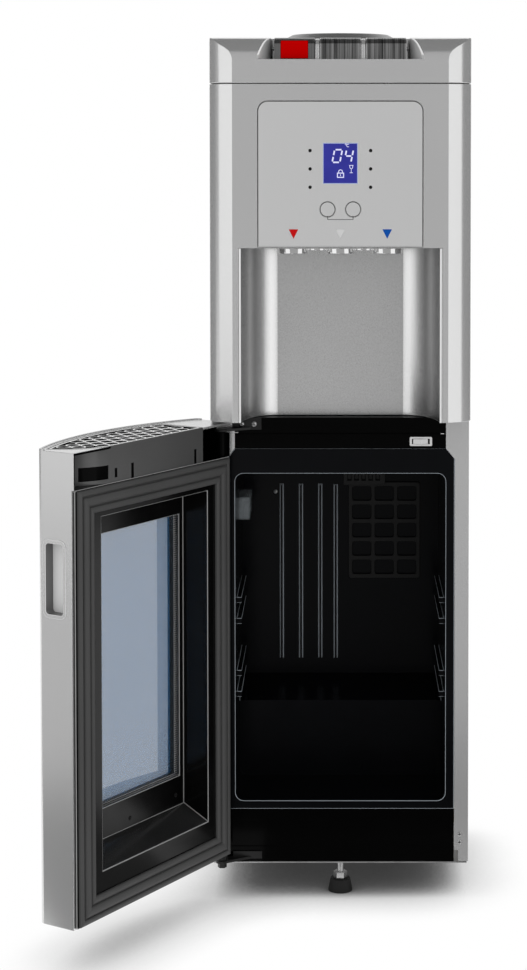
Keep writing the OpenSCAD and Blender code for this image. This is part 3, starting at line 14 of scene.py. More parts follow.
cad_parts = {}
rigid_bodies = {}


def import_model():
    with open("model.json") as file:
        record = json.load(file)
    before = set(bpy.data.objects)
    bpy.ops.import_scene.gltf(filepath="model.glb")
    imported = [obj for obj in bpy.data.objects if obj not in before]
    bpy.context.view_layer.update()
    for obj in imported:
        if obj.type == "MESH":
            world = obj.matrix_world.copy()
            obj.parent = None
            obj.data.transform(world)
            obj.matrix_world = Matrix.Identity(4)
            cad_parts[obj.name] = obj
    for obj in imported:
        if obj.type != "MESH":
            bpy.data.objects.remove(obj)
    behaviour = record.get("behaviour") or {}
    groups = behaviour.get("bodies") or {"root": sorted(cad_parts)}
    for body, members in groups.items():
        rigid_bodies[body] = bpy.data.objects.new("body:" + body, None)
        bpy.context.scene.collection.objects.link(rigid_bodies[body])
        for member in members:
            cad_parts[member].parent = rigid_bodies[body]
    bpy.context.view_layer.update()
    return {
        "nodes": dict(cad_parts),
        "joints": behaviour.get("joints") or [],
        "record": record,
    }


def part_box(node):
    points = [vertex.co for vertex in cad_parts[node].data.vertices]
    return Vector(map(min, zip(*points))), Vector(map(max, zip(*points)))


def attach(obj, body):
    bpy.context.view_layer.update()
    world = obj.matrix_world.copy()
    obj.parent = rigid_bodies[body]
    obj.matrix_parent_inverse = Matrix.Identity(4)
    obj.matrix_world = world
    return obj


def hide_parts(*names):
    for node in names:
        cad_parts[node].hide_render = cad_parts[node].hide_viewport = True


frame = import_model()
solids = frame["nodes"]
bodies = frame["record"]["behaviour"]["bodies"]
body_of = {node: body for body, nodes in bodies.items() for node in nodes}
MM = 0.001

# %% [markdown]
# The camera repeats the photograph's view. It stands a little over two and a half metres away at
# chest height and looks slightly down. The picture shows the machine low and right of the middle,
# which is a shift of the lens and not a turn of the camera, so upright edges stay upright.

# %% Camera
scene = bpy.context.scene


def put_in_scene(name, data):
    thing = bpy.data.objects.new(name, data)
    scene.collection.objects.link(thing)
    return thing


look_down = 2.424
eye = put_in_scene("eye", bpy.data.cameras.new("eye"))
eye.data.lens = 79.162
eye.data.sensor_width = 36.0
eye.data.shift_x, eye.data.shift_y = -0.0787, -0.27
eye.location = (-0.0006, -2.5866, 0.9298)
eye.rotation_euler = (math.radians(90.0 - look_down), 0.0, 0.0)
scene.camera = eye
scene.view_settings.view_transform = "Standard"
print("camera", [round(v, 3) for v in eye.location], "lens", eye.data.lens)

# %% [markdown]
# A finish is a tree of nodes. Writing every link by hand hides the idea, so small classes carry the
# work. A wire is one output socket, and ordinary operators on wires add Math nodes.

# %% Wires
def maths(operation, swapped=False):
    """An operator that adds one Math node."""
    def apply(wire, other=0.0):
        first, second = (other, wire) if swapped else (wire, other)
        return wire.bench.node("ShaderNodeMath", {"operation": operation}, {0: first, 1: second})
    return apply


class Wire:
    """One output socket, with the operators that the finishes use."""

    def __init__(self, bench, socket):
        self.bench, self.socket = bench, socket

    __add__, __radd__ = maths("ADD"), maths("ADD", True)
    __sub__, __rsub__ = maths("SUBTRACT"), maths("SUBTRACT", True)
    __mul__, __abs__ = maths("MULTIPLY"), maths("ABSOLUTE")
    __gt__, __lt__ = maths("GREATER_THAN"), maths("LESS_THAN")


print("wires ready")

# %% [markdown]
# A bench is a tree under construction. Every node that isn't plain arithmetic comes from its one
# method: a kind, its settings, its inputs and the output to go on from.

# %% Benches
def rgba(tone):
    """A number is a grey, three numbers are red, green and blue."""
    return (tone, tone, tone, 1.0) if isinstance(tone, float) else (*tone, 1.0)


class Bench:
    """A node tree under construction."""

    def __init__(self, tree):
        self.tree = tree
        tree.nodes.clear()

    def node(self, kind, settings=None, inputs=None, out=0):
        made = self.tree.nodes.new(kind)
        for key, value in (settings or {}).items():
            if key == "stops":
                ramp = made.color_ramp.elements
                while len(ramp) < len(value):
                    ramp.new(1.0)
                for stop, (place, tone) in zip(ramp, value):
                    stop.position, stop.color = place, rgba(tone)
            else:
                setattr(made, key, value)
        for key, value in (inputs or {}).items():
            socket = made.inputs[key]
            if isinstance(value, Wire):
                self.tree.links.new(value.socket, socket)
            else:
                socket.default_value = rgba(value) if socket.type == "RGBA" else value
        return Wire(self, made.outputs[out])


print("middle grey", rgba(0.5))

# %% [markdown]
# Every finish starts from object coordinates, which are the frame's own metres, so a grain of 2400
# repeats about every half millimetre. A finish ends in one Principled shader, or in a plain glow.

# %% Finish maker
class Finish(Bench):
    """A material under construction, in object coordinates."""

    def __init__(self, name):
        self.material = bpy.data.materials.new(name)
        self.material.use_nodes = True
        super().__init__(self.material.node_tree)
        self.place = self.node("ShaderNodeTexCoord", out="Object")

    def axes(self):
        split = self.node("ShaderNodeSeparateXYZ", {}, {0: self.place})
        return [Wire(self, socket) for socket in split.socket.node.outputs]

    def grain(self, scale, detail=2.0, stretch=None):
        place = self.place
        if stretch:
            place = self.node("ShaderNodeMapping", {}, {"Vector": place, "Scale": stretch})
        return self.node("ShaderNodeTexNoise", {}, {"Vector": place, "Scale": scale, "Detail": detail})

    def tint(self, mask, low, high):
        return self.node("ShaderNodeMix", {"data_type": "RGBA"}, {0: mask, 6: low, 7: high}, out=2)

    def relief(self, height, strength, depth=0.1 * MM):
        return self.node("ShaderNodeBump", {}, {"Height": height, "Strength": strength, "Distance": depth})

    def end(self, shader):
        last = self.tree.nodes.new("ShaderNodeOutputMaterial")
        self.tree.links.new(shader.socket, last.inputs["Surface"])
        return self.material

    def close(self, sockets):
        return self.end(self.node("ShaderNodeBsdfPrincipled", {}, sockets))

    def glow(self, colour):
        return self.end(self.node("ShaderNodeEmission", {}, {"Color": colour, "Strength": 1.0}))


print("a grain of 2400 is", round(1.0 / 2400.0 / MM, 2), "mm")

# %% [markdown]
# The light is a plain white room, so a colour renders about as it is written. A metallic lacquer
# shows what stands round it, though, and in an all-white room it would look white. Grey cards stand
# round the machine as in a studio, seen only in reflections. The gaps between them stay white, and
# the flats of the corner pillars pick those up as bright bands.

# %% Room and cards
room = bpy.data.worlds.new("room")
room.use_nodes = True
sky = room.node_tree.nodes["Background"].inputs
sky["Color"].default_value, sky["Strength"].default_value = rgba(1.0), 1.0
scene.world = room


def staged_sheet(name, corners, finish):
    mesh = bpy.data.meshes.new(name)
    mesh.from_pydata(corners, [], [tuple(range(len(corners)))])
    mesh.materials.append(finish)
    sheet = put_in_scene(name, mesh)
    return sheet


def card(place, level, corners):
    name = "card_" + place
    sheet = staged_sheet(name, corners, Finish(name).glow(level))
    sheet.visible_camera = sheet.visible_diffuse = sheet.visible_shadow = False
    sheet.visible_transmission = sheet.visible_volume_scatter = False
    return sheet


def upright_card(place, level, start, stop, radius=3.4, low=-0.2, high=3.6):
    """A card between two bearings in degrees, with 0 in front."""
    turns = [math.radians(bearing) for bearing in (start, stop)]
    near, far = [(math.sin(turn) * radius, -math.cos(turn) * radius) for turn in turns]
    return card(place, level, [(*near, low), (*far, low), (*far, high), (*near, high)])


def level_card(place, level, left, right, near, far, height=2 * MM):
    spots = [(left, near), (right, near), (right, far), (left, far)]
    return card(place, level, [(*spot, height) for spot in spots])


cards = [
    upright_card("front", 0.365, -30, 30),
    upright_card("right", 0.17, 64, 150),
    upright_card("left_low", 0.78, -84, -60, high=0.45),
    upright_card("left_high", 0.30, -84, -64, low=0.45),
    upright_card("far_left", 0.17, -150, -84),
    upright_card("back", 0.82, 150, 210, low=0.0, high=1.6),
    level_card("above", 0.10, -3.0, 3.0, -7.0, 3.5, 3.62),
    level_card("floor", 0.32, -0.2, 1.3, -3.2, -0.75),
    level_card("floor_near", 0.12, -0.2, 1.3, -0.75, -0.28),
    level_card("floor_lip", 0.2, -0.1, 1.3, -0.28, -0.07),
    level_card("floor_door", 0.06, -0.95, -0.32, -1.2, -0.32),
    level_card("floor_left", 0.40, -3.2, -0.95, -2.4, -0.1),
]
print("cards", [c.name for c in cards])

# %% [markdown]
# The floor is white, and only a soft shadow shows where the machine comes near it. A painted shadow
# would stay behind when the door swings. So the floor glows by itself, and a node that feels how
# close other surfaces are darkens it.

# %% Floor
f = Finish("floor")
closeness = f.node("ShaderNodeAmbientOcclusion", {"samples": 16}, {"Distance": 0.12}, out="AO")
stops = [(0.0, 0.0), (0.3, 0.1), (0.6, 0.7), (0.88, 1.0)]
shadow = f.node("ShaderNodeValToRGB", {"stops": stops}, {0: closeness})
far = 9.0
floor_corners = [(-far, -far, 0.0), (far, -far, 0.0), (far, far, 0.0), (-far, far, 0.0)]
staged_sheet("floor", floor_corners, f.glow(shadow))
print("floor", 2 * far, "m wide")

# %% [markdown]
# The housing, cover, door and side panels carry one silver lacquer: a metallic paint with fine
# flakes. An even grey would look dead on faces this large, so noise as fine as the flakes varies
# the colour and the gloss. The alcove sparkles more. Its hollow sides are paler, a painted highlight,
# and darken towards the rim, which is painted shade. The control panel is paler and the guard darker,
# and the grip's walls and the niche's end walls are darker too, which is painted shade.

# %% Silver lacquers
def silver_lacquer(name, tone, sparkle=0.06, roughness=0.24, metallic=0.8, fade=None):
    f = Finish(name)
    flake = f.grain(2400.0, 1.0)
    drift = f.grain(6.0, 2.0)
    dull, bright = tone * (1.0 - 2.0 * sparkle), min(tone * (1.0 + 2.0 * sparkle), 0.95)
    colour = f.tint(flake * 0.8 + drift * 0.2, dull, bright)
    if fade:
        start, stop, dark = fade
        outward = abs(f.axes()[0]) - start
        mask = f.node("ShaderNodeMath", {"operation": "MULTIPLY", "use_clamp": True},
                      {0: outward, 1: 1.0 / (stop - start)})
        colour = f.tint(mask, colour, dark)
    return f.close({"Base Color": colour, "Metallic": metallic,
                    "Roughness": roughness - 0.05 + flake * 0.1, "Normal": f.relief(flake, 0.04)})


# Painted highlight and painted shade on the alcove's hollow sides: a pale tone fading to a darker one near
# the rim.
painted_shade_fade = (0.084, 0.103, 0.42)  # from and to this far off the middle, and the tone at the end
silver = silver_lacquer("silver_lacquer", 0.76)
alcove_silver = silver_lacquer("alcove_lacquer", 0.68, 0.14, 0.28)
alcove_side_painted_light = silver_lacquer("alcove_side_lacquer", 0.9, 0.03, 0.26, 0.9, painted_shade_fade)
panel_silver = silver_lacquer("panel_lacquer", 0.80, 0.04, 0.42, 0.75)
# Painted shade for the walls of the finger grip.
grip_shade = silver_lacquer("grip_shade", 0.16, 0.05, 0.34, 0.3)
guard_silver = silver_lacquer("guard_lacquer", 0.30, 0.05, 0.34)
# Painted shade for the end walls of the button niche.
niche_painted_shade = silver_lacquer("niche_lacquer", 0.42, 0.05, 0.4, 0.15)
print("lacquers ready, tone", painted_shade_fade[2], "at the rim")

# %% [markdown]
# The buttons are plated plastic, brushed from front to back. A noise stretched along one axis gives
# such streaks: it changes fast across the button and hardly at all along it. A band at each end of a
# button's measured width is painted brighter, a painted highlight along its two side edges.

# %% Brushed metal
def brushed_metal(name, low, high, stretch, roughness=0.3, contrast=1.0, rim=None):
    f = Finish(name)
    streak = (f.grain(1.0, 3.0, stretch) - 0.5) * contrast + 0.5
    colour = f.tint(streak, low, high)
    # Painted highlight: a paler band along each side edge of the button.
    if rim:
        middle, half, tone = rim
        rim_width = 0.9 * MM
        edge = abs(abs(f.axes()[0]) - middle) > half - rim_width
        colour = f.tint(edge, colour, tone)
    return f.close({"Base Color": colour, "Metallic": 1.0,
                    "Roughness": roughness - 0.06 + streak * 0.12, "Normal": f.relief(streak, 0.05)})


def span(spots):
    """Lowest and highest corner of a cloud of points."""
    return [Vector([pick(spot[k] for spot in spots) for k in range(3)]) for pick in (min, max)]


def front_face(node, depth=0.4 * MM):
    """Corners of the foremost part of a solid."""
    spots = [v.co for v in solids[node].data.vertices]
    near = min(spot.y for spot in spots)
    return span([spot for spot in spots if spot.y < near + depth])


low, high = front_face("cold_button")
cold_x, cold_half = (low.x + high.x) / 2, (high.x - low.x) / 2


def button_metal(name, middle):
    return brushed_metal(name, 0.03, 0.5, (760.0, 5.0, 5.0), contrast=2.6, rim=(middle, cold_half, 0.75))


button_steel = button_metal("button_steel", cold_x)
middle_steel = button_metal("middle_button_steel", 0.0)
frame_steel = brushed_metal("button_frame_steel", 0.16, 0.36, (900.0, 9.0, 9.0))
tank_steel = brushed_metal("tank_steel", 0.42, 0.6, (20.0, 20.0, 700.0), 0.34)
spacer_dark = brushed_metal("spacer_dark", 0.03, 0.06, (300.0, 300.0, 300.0), 0.4)
print("cold button", round(cold_x, 4), "half", round(cold_half, 4))

# %% [markdown]
# The spouts and the grille are chromed and show only faint smears, screws are bright zinc, and the
# base pan is zinc-coated sheet with its large crystals. The bar between the panes has a row of dots
# rolled along it: the height divided by their pitch says where each one falls.

# %% Polished and rolled metal
def polished_metal(name, tone, roughness=0.08):
    f = Finish(name)
    smear = f.grain(45.0, 3.0)
    colour = f.tint(smear, tone * 0.95, min(tone * 1.05, 0.97))
    return f.close({"Base Color": colour, "Metallic": 1.0,
                    "Roughness": roughness * 0.7 + smear * (roughness * 0.6)})


nozzle_chrome = polished_metal("nozzle_chrome", 0.85)
grille_chrome = polished_metal("grille_chrome", 0.88, 0.06)
# Painted shade for the insides of the grille's rings.
grille_inside = polished_metal("grille_inside", 0.12, 0.2)
bright_zinc = polished_metal("bright_zinc", 0.62, 0.28)

f = Finish("pan_steel")
spangle = f.node("ShaderNodeTexVoronoi", {}, {"Vector": f.place, "Scale": 90.0}, out="Color")
level = f.node("ShaderNodeRGBToBW", {}, {0: spangle})
pan_steel = f.close({"Base Color": f.tint(level, 0.425, 0.56), "Metallic": 0.9,
                     "Roughness": 0.36 + level * 0.12})

f = Finish("spacer_dotted")
dot_pitch = 2.6 * MM
along = f.node("ShaderNodeMath", {"operation": "FRACT"}, {0: f.axes()[2] * (1.0 / dot_pitch)})
dot = abs(along - 0.5) < 0.22
spacer_dotted = f.close({"Base Color": f.tint(dot, 0.55, 0.06), "Metallic": 0.3,
                         "Roughness": 0.4 + dot * 0.1})
print("dots every", round(dot_pitch / MM, 1), "mm")

# %% [markdown]
# Plastics and rubbers differ in gloss and grain. Black mouldings are nearly mirror-smooth with a
# faint ripple, the tray and the inner covers have a fine grain, and the rubbers are dull. A gloss
# plastic looks black because its own colour is close to nothing and its reflection is weak, so the
# specular level is low. Rounded edges that should catch the light get a paler finish, a painted highlight.

# %% Black mouldings and rubbers
def moulded(name, low, high, roughness, grain, specular, relief=0.06):
    f = Finish(name)
    pits = f.grain(grain, 2.0)
    drift = f.grain(11.0, 2.0)
    return f.close({"Base Color": f.tint(drift * 0.6 + pits * 0.4, low, high),
                    "Roughness": roughness - 0.04 + pits * 0.08, "Specular IOR Level": specular,
                    "Normal": f.relief(pits, relief)})


fascia_black = moulded("fascia_black", 0.0006, 0.0012, 0.12, 60.0, 0.05, 0.02)
liner_black = moulded("liner_black", (0.0012, 0.0014, 0.0018), (0.0026, 0.003, 0.004),
                      0.2, 45.0, 0.1, 0.03)
# A painted highlight for the rounded edges of the compartment's liner.
liner_edge = moulded("liner_edge", (0.28, 0.31, 0.34), (0.36, 0.4, 0.44), 0.2, 60.0, 0.8, 0.02)
reveal_black = moulded("reveal_black", 0.0012, 0.0026, 0.16, 60.0, 0.28, 0.02)
ledge_black = moulded("ledge_black", 0.004, 0.03, 0.12, 25.0, 0.8, 0.05)
# A painted highlight for the rounded edges of the reveal.
edge_shine = moulded("edge_shine", 0.2, 0.3, 0.2, 60.0, 0.8, 0.02)
cover_black = moulded("inner_cover_black", 0.003, 0.006, 0.38, 1200.0, 0.25, 0.12)
bracket_black = moulded("bracket_black", 0.006, 0.012, 0.35, 700.0, 0.3, 0.1)
lens_black = moulded("lens_black", 0.004, 0.008, 0.2, 500.0, 0.3)
coil_black = moulded("coil_black_paint", 0.012, 0.02, 0.45, 600.0, 0.4)
tray_grey = moulded("tray_grey", 0.046, 0.068, 0.24, 1100.0, 0.8, 0.1)
gasket_rubber = moulded("gasket_rubber", 0.045, 0.066, 0.55, 700.0, 0.3, 0.1)
foot_rubber = moulded("foot_rubber", 0.006, 0.012, 0.6, 600.0, 0.3, 0.15)
print("finishes", len(bpy.data.materials))

# %% [markdown]
# Pale and coloured plastics follow the same recipe. The catch is a deep red that hardly reflects.
# The wall round the window is painted near-white, painted light that lifts the shade inside it, so it
# shows as a pale frame behind the glass. The pale edge finish is a painted highlight.

# %% Pale and coloured plastics
white_plastic = moulded("white_plastic", 0.62, 0.7, 0.4, 900.0, 0.4)
switch_white = moulded("switch_white", 0.55, 0.64, 0.35, 900.0, 0.4)
# A painted highlight: the alcove's rim, the niche's arched edges, and the grip's rim edges and floor.
rim_white = moulded("rim_white", 0.74, 0.8, 0.4, 900.0, 0.3)
# Painted light: near-white so that the shaded wall round the window reads like the glass.
window_lining = moulded("window_lining", 0.9, 0.94, 0.45, 900.0, 0.3)
hose_milky = moulded("hose_milky", 0.55, 0.62, 0.45, 500.0, 0.4)
print_grey = moulded("print_grey", 0.02, 0.035, 0.5, 2000.0, 0.2)
rear_grey = moulded("rear_grey_paint", 0.2, 0.25, 0.5, 1400.0, 0.4, 0.1)
catch_red = moulded("catch_red", (0.44, 0.0002, 0.0002), (0.5, 0.0003, 0.0003), 0.3, 500.0, 0.0, 0.03)
rocker_red = moulded("rocker_red", (0.42, 0.01, 0.01), (0.5, 0.016, 0.014), 0.3, 500.0, 0.3)
rocker_green = moulded("rocker_green", (0.02, 0.18, 0.03), (0.03, 0.24, 0.045), 0.3, 500.0, 0.3)
board_green = moulded("board_green", (0.008, 0.09, 0.03), (0.012, 0.13, 0.045), 0.4, 300.0, 0.4)
print("finishes", len(bpy.data.materials))

# %% [markdown]
# The two foams hide behind panels, yet a part is seen from all sides when it is taken apart. Cast
# foam has a mottled skin, and the tank's insulation is pressed from beads, which a pattern of cells
# shows.

# %% Foams
f = Finish("foam_skin")
mottle = f.grain(60.0, 4.0)
foam_skin = f.close({"Base Color": f.tint(mottle, (0.58, 0.46, 0.2), (0.8, 0.7, 0.42)),
                     "Roughness": 0.9, "Normal": f.relief(mottle, 0.3, 1.0 * MM)})

f = Finish("bead_board")
bead = f.node("ShaderNodeTexVoronoi", {}, {"Vector": f.place, "Scale": 260.0}, out="Distance")
bead_board = f.close({"Base Color": f.tint(bead, 0.86, 0.7), "Roughness": 0.85,
                      "Normal": f.relief(1.0 - bead, 0.4, 0.8 * MM)})
print("finishes", len(bpy.data.materials))

# %% [markdown]
# The window is a sealed pair of panes. The outer one is tinted: it lets about half of what is
# behind it through and adds its own blue. The inner one is almost clear, so the bar between them
# keeps its own colour. Panes this thin hardly bend light, so an even alpha is enough. The lamp's
# cover is milky.

# %% Glass and clear plastic
def tinted_glass(name, low, high, alpha, roughness=0.05):
    f = Finish(name)
    drift = f.grain(5.0, 1.0)
    return f.close({"Base Color": f.tint(drift, low, high), "Roughness": roughness + drift * 0.02,
                    "Alpha": alpha, "Specular IOR Level": 0.3})


pane_tint = tinted_glass("pane_tint", (0.03, 0.135, 0.29), (0.04, 0.15, 0.32), 0.47)
pane_clear = tinted_glass("pane_clear", (0.1, 0.14, 0.18), (0.12, 0.16, 0.2), 0.03)
lamp_clear = tinted_glass("lamp_clear", (0.25, 0.28, 0.3), (0.36, 0.4, 0.42), 0.34, 0.08)
print("finishes", len(bpy.data.materials))

# %% [markdown]
# The display is a lit blue field with a pale border, which starts at a set distance from the middle
# of the window. The tap markers are three inserts in one moulding: red, pale grey and blue, chosen
# by where they sit from left to right.

# %% Display and tap markers
low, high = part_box("display_window")
display_x, display_z = (low[0] + high[0]) / 2, (low[2] + high[2]) / 2
half_w, half_h, border = 20.3 * MM, 23.8 * MM, 0.6 * MM
f = Finish("display_blue")
x, y, z = f.axes()
inside = (abs(x - display_x) < half_w - border) * (abs(z - display_z) < half_h - border)
field = f.tint(f.grain(40.0, 2.0), (0.016, 0.018, 0.22), (0.032, 0.034, 0.33))
light = f.tint(inside, (0.36, 0.42, 0.66), field)
display_blue = f.close({"Base Color": 0.01, "Roughness": 0.15, "Specular IOR Level": 0.1,
                        "Emission Color": light, "Emission Strength": 1.0})

f = Finish("sign_light")
light = f.tint(f.grain(300.0, 1.0), (0.62, 0.62, 0.9), (0.78, 0.78, 1.0))
sign_light = f.close({"Base Color": 0.05, "Roughness": 0.3,
                      "Emission Color": light, "Emission Strength": 1.0})

f = Finish("marker_inserts")
x, marker_edge = f.axes()[0], 27 * MM
warm = f.tint(x > -marker_edge, (0.5, 0.002, 0.003), 0.58)
colour = f.tint(x > marker_edge, warm, (0.0015, 0.07, 0.35))
markers = f.close({"Base Color": colour, "Roughness": 0.3 + f.grain(700.0, 1.0) * 0.06,
                   "Specular IOR Level": 0.08})
print("display middle", round(display_x, 4), round(display_z, 4))

# %% [markdown]
# What a viewer sees are pieces: plain meshes that ride on one body of the machine. A piece may
# stand for a solid, which then stays hidden. Modifiers could stay on an object, but a mesh with
# their result in it is the same in every program.

# %% From an object to a piece
def to_mesh(rough):
    bpy.context.view_layer.update()
    made = bpy.data.meshes.new_from_object(rough.evaluated_get(bpy.context.evaluated_depsgraph_get()))
    bpy.data.objects.remove(rough)
    return made


def piece(name, mesh, finishes, body, stands_for=()):
    thing = put_in_scene(name, mesh)
    shares = [face.material_index for face in mesh.polygons]
    mesh.materials.clear()
    for finish in finishes:
        mesh.materials.append(finish)
    mesh.polygons.foreach_set("material_index", shares)
    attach(thing, body)
    if stands_for:
        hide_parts(*stands_for)
    return thing


print("bodies to ride on", len(bodies))

# %% [markdown]
# A moulded or folded edge is never perfectly sharp, and the thin bright line along it makes an
# object look real. Each visible solid is copied, its triangles are joined back into flat faces, and
# a Bevel rounds every edge that turns more than twenty-two degrees. Weighted normals keep the large
# faces flat. If a solid has several finishes, a pick function chooses one for each face.

# %% Soften a solid
WELD = 2e-6
FLAT, SHARP = math.radians(0.6), math.radians(22.0)


def soften(node, finishes, width=0.4, pick=None):
    bm = bmesh.new()
    bm.from_mesh(solids[node].data)
    bmesh.ops.remove_doubles(bm, verts=bm.verts, dist=WELD)
    bmesh.ops.dissolve_limit(bm, angle_limit=FLAT, verts=bm.verts, edges=bm.edges)
    mesh = bpy.data.meshes.new(node + "_soft")
    bm.to_mesh(mesh)
    bm.free()
    mesh.polygons.foreach_set("use_smooth", [True] * len(mesh.polygons))
    rough = put_in_scene(node + "_rough", mesh)
    edge = rough.modifiers.new("edge", "BEVEL")
    edge.width, edge.segments = width * MM, 2
    edge.limit_method, edge.angle_limit = "ANGLE", SHARP
    edge.use_clamp_overlap, edge.harden_normals = False, True
    even = rough.modifiers.new("even", "WEIGHTED_NORMAL")
    even.keep_sharp = True
    made = to_mesh(rough)
    picks = [int(pick(face)) if pick else 0 for face in made.polygons]
    made.polygons.foreach_set("material_index", picks)
    return piece(node + "_soft", made, finishes, body_of[node], [node])


print("edges over", round(math.degrees(SHARP)), "degrees are rounded")

# %% [markdown]
# Most solids need one finish and one width of rounding in millimetres. Folded sheet is tight,
# mouldings are rounder, and the rubber feet and the shroud over the spouts are the roundest.

# %% Solids with one finish
softened = {
    "front_housing": (silver, 0.5), "left_side_panel": (silver, 0.25), "right_side_panel": (silver, 0.25),
    "control_panel": (panel_silver, 0.3), "spout_shroud": (nozzle_chrome, 0.8),
    "tap_bodies": (white_plastic, 0.3), "display_window": (display_blue, 0.15),
    "select_key": (panel_silver, 0.3), "custom_key": (panel_silver, 0.3),
    "indicator_lenses": (lens_black, 0.3), "hot_button": (frame_steel, 0.5),
    "room_button": (middle_steel, 0.5), "cold_button": (button_steel, 0.5), "hot_safety": (catch_red, 0.6),
    "bottle_guard": (guard_silver, 0.6), "fascia": (fascia_black, 0.4), "kick_plate": (fascia_black, 0.3),
    "top_hinge_bracket": (bracket_black, 0.3), "bottom_hinge_bracket": (bracket_black, 0.3),
    "switch_bezel": (switch_white, 0.4), "light_rocker": (switch_white, 0.4),
    "evaporator_cover": (cover_black, 0.4), "fan_housing": (cover_black, 0.6),
    "lamp_cover": (lamp_clear, 0.6), "base_pan": (pan_steel, 0.25), "front_foot": (foot_rubber, 0.8),
    "foot_stem": (bright_zinc, 0.4), "rear_feet": (foot_rubber, 0.8), "outer_glass": (pane_tint, 0.3),
    "inner_glass": (pane_clear, 0.3), "rear_panel": (rear_grey, 0.25), "drain_plug": (white_plastic, 0.6),
    "cord_gland": (foot_rubber, 0.4), "hot_switch": (rocker_red, 0.4), "cold_switch": (rocker_green, 0.4),
}
for node, (finish, width) in softened.items():
    soften(node, [finish], width)
print("softened", len(softened))

# %% [markdown]
# The compartment's liner is drawn from one black sheet. Its walls vanish in the dark, and only the
# rounded edges of the opening, the ribs and the shelf rails catch some light. The narrow strips
# along those edges are painted paler, a painted highlight.

# %% Liner of the compartment
liner_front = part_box("fridge_liner")[0][1]
strip, rim_depth = 0.55, 3 * MM
back_half, rib_low, rail_low = 0.1, 0.27, 0.2
SQUARE = 0.97


def narrow(face):
    """A strip such as one of the two that round an edge."""
    spots = [face.id_data.vertices[k].co for k in face.vertices]
    longest = max((spots[k] - spots[k - 1]).length for k in range(len(spots)))
    return face.area < strip * MM * longest


def slanted(out):
    """A direction between the axes, as on a rounded edge."""
    return max(abs(c) for c in out) < SQUARE


def liner_skin(face):
    """0 on walls, 1 on the rounded edges of the opening, the ribs and the shelf rails, with a painted
    highlight.
    """
    spot, lean = face.center, abs(face.normal.z)
    if not (narrow(face) and slanted(face.normal)):
        return 0
    opening = spot.y < liner_front + rim_depth
    ribs = abs(spot.x) < back_half and spot.z > rib_low and lean < 0.5
    rails = abs(spot.x) > back_half and spot.z > rail_low and lean > 0.1
    return 1 if opening or ribs or rails else 0


liner = soften("fridge_liner", [liner_black, liner_edge], 0.6, liner_skin)
print("pale strips", sum(face.material_index for face in liner.data.polygons))

# %% [markdown]
# The buttons lie in a niche across the cover's front edge. Its two end walls slope inwards and are
# painted a darker silver as painted shade, and the arched edge of each is a painted highlight, a white line.

# %% Cover and its niche
niche_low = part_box("cold_button")[0][2]
niche_wall, niche_edge, niche_back = 78 * MM, 83 * MM, -30 * MM
arch_area, arch_rise = 6 * MM * MM, 10 * MM


def cover_skin(face):
    """0 outside, 1 on the two end walls of the button niche (painted shade), 2 on the arched edge of each
    (painted highlight).
    """
    spot, out = face.center, face.normal
    inward = -out.x if spot.x > 0 else out.x
    if not (inward > 0.12 and abs(spot.x) > niche_wall and spot.y < niche_back and spot.z > niche_low):
        return 0
    arched = face.area < arch_area and out.z > 0.08 and spot.z > niche_low + arch_rise
    return 2 if arched and abs(spot.x) > niche_edge else 1


cover = soften("top_cover", [silver, niche_painted_shade, rim_white], 1.2, cover_skin)
print("niche faces", sum(face.material_index > 0 for face in cover.data.polygons))

# %% [markdown]
# The alcove's sides are hollow, so a bright band runs down each of them. The solid's arc is made of
# flats, and each would mirror the room in one tone. The shading is therefore turned: slowly up to
# halfway between the back wall and the rim, and faster from there.

# %% Alcove
# The hollow side walls also carry a pale lacquer that darkens towards the rim, which is painted highlight
# and painted shade, and the rim has a painted highlight.
alcove_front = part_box("alcove_liner")[0][1]
side_start, side_stop = 73.0 * MM, 117.0 * MM


def alcove_skin(face):
    """0 on the back wall, 1 on the rim (painted highlight), 2 on the hollow side walls (painted highlight
    and painted shade).
    """
    spot, out = face.center, face.normal
    if spot.y < alcove_front + 0.5 * MM and out.y < -0.5:
        return 1
    inward = -out.x if spot.x > 0 else out.x
    hollow = (abs(out.z) < 0.3 and abs(spot.x) > side_start and inward > 0.0
              and out.y < 0.05 and spot.y > alcove_front + 0.6 * MM)
    return 2 if hollow else 0


def hollow_turn(way):
    """Degrees that a side wall has turned on its way from the back wall to the rim."""
    return 12.0 + 52.0 * min(way, 0.5) + 50.0 * (2.0 * max(way - 0.5, 0.0)) ** 1.3


def turn_sides(mesh):
    normals = [corner.vector.copy() for corner in mesh.corner_normals]
    for face in mesh.polygons:
        side = 1.0 if face.center.x > 0 else -1.0
        for k in face.loop_indices if face.material_index == 2 else ():
            spot = mesh.vertices[mesh.loops[k].vertex_index].co
            way = (abs(spot.x) - side_start) / (side_stop - side_start)
            turn = math.radians(hollow_turn(min(max(way, 0.0), 1.0)))
            normals[k] = Vector((-side * math.sin(turn), -math.cos(turn), 0.0))
    mesh.normals_split_custom_set(normals)


alcove = soften("alcove_liner", [alcove_silver, rim_white, alcove_side_painted_light], 0.5, alcove_skin)
turn_sides(alcove.data)
print("hollow sides turn to", hollow_turn(1.0), "degrees")

# %% [markdown]
# What hides inside needs no rounding. Tanks, hoses, foam and the cooling circuit keep their solids
# and only get a finish, and so do the small tap markers.

# %% Solids that keep their shape
painted = {
    "condenser": coil_black, "compressor": coil_black, "compressor_grommets": foot_rubber,
    "insulation_foam": foam_skin, "tank_insulation": bead_board, "cold_tank": tank_steel,
    "hot_tank": tank_steel, "water_hoses": hose_milky, "control_board": board_green,
    "button_pivot_rod": bright_zinc, "hot_push_rod": white_plastic, "room_push_rod": white_plastic,
    "cold_push_rod": white_plastic, "tap_markers": markers,
}
for node, finish in painted.items():
    solids[node].data.materials.clear()
    solids[node].data.materials.append(finish)
print("painted", len(painted))

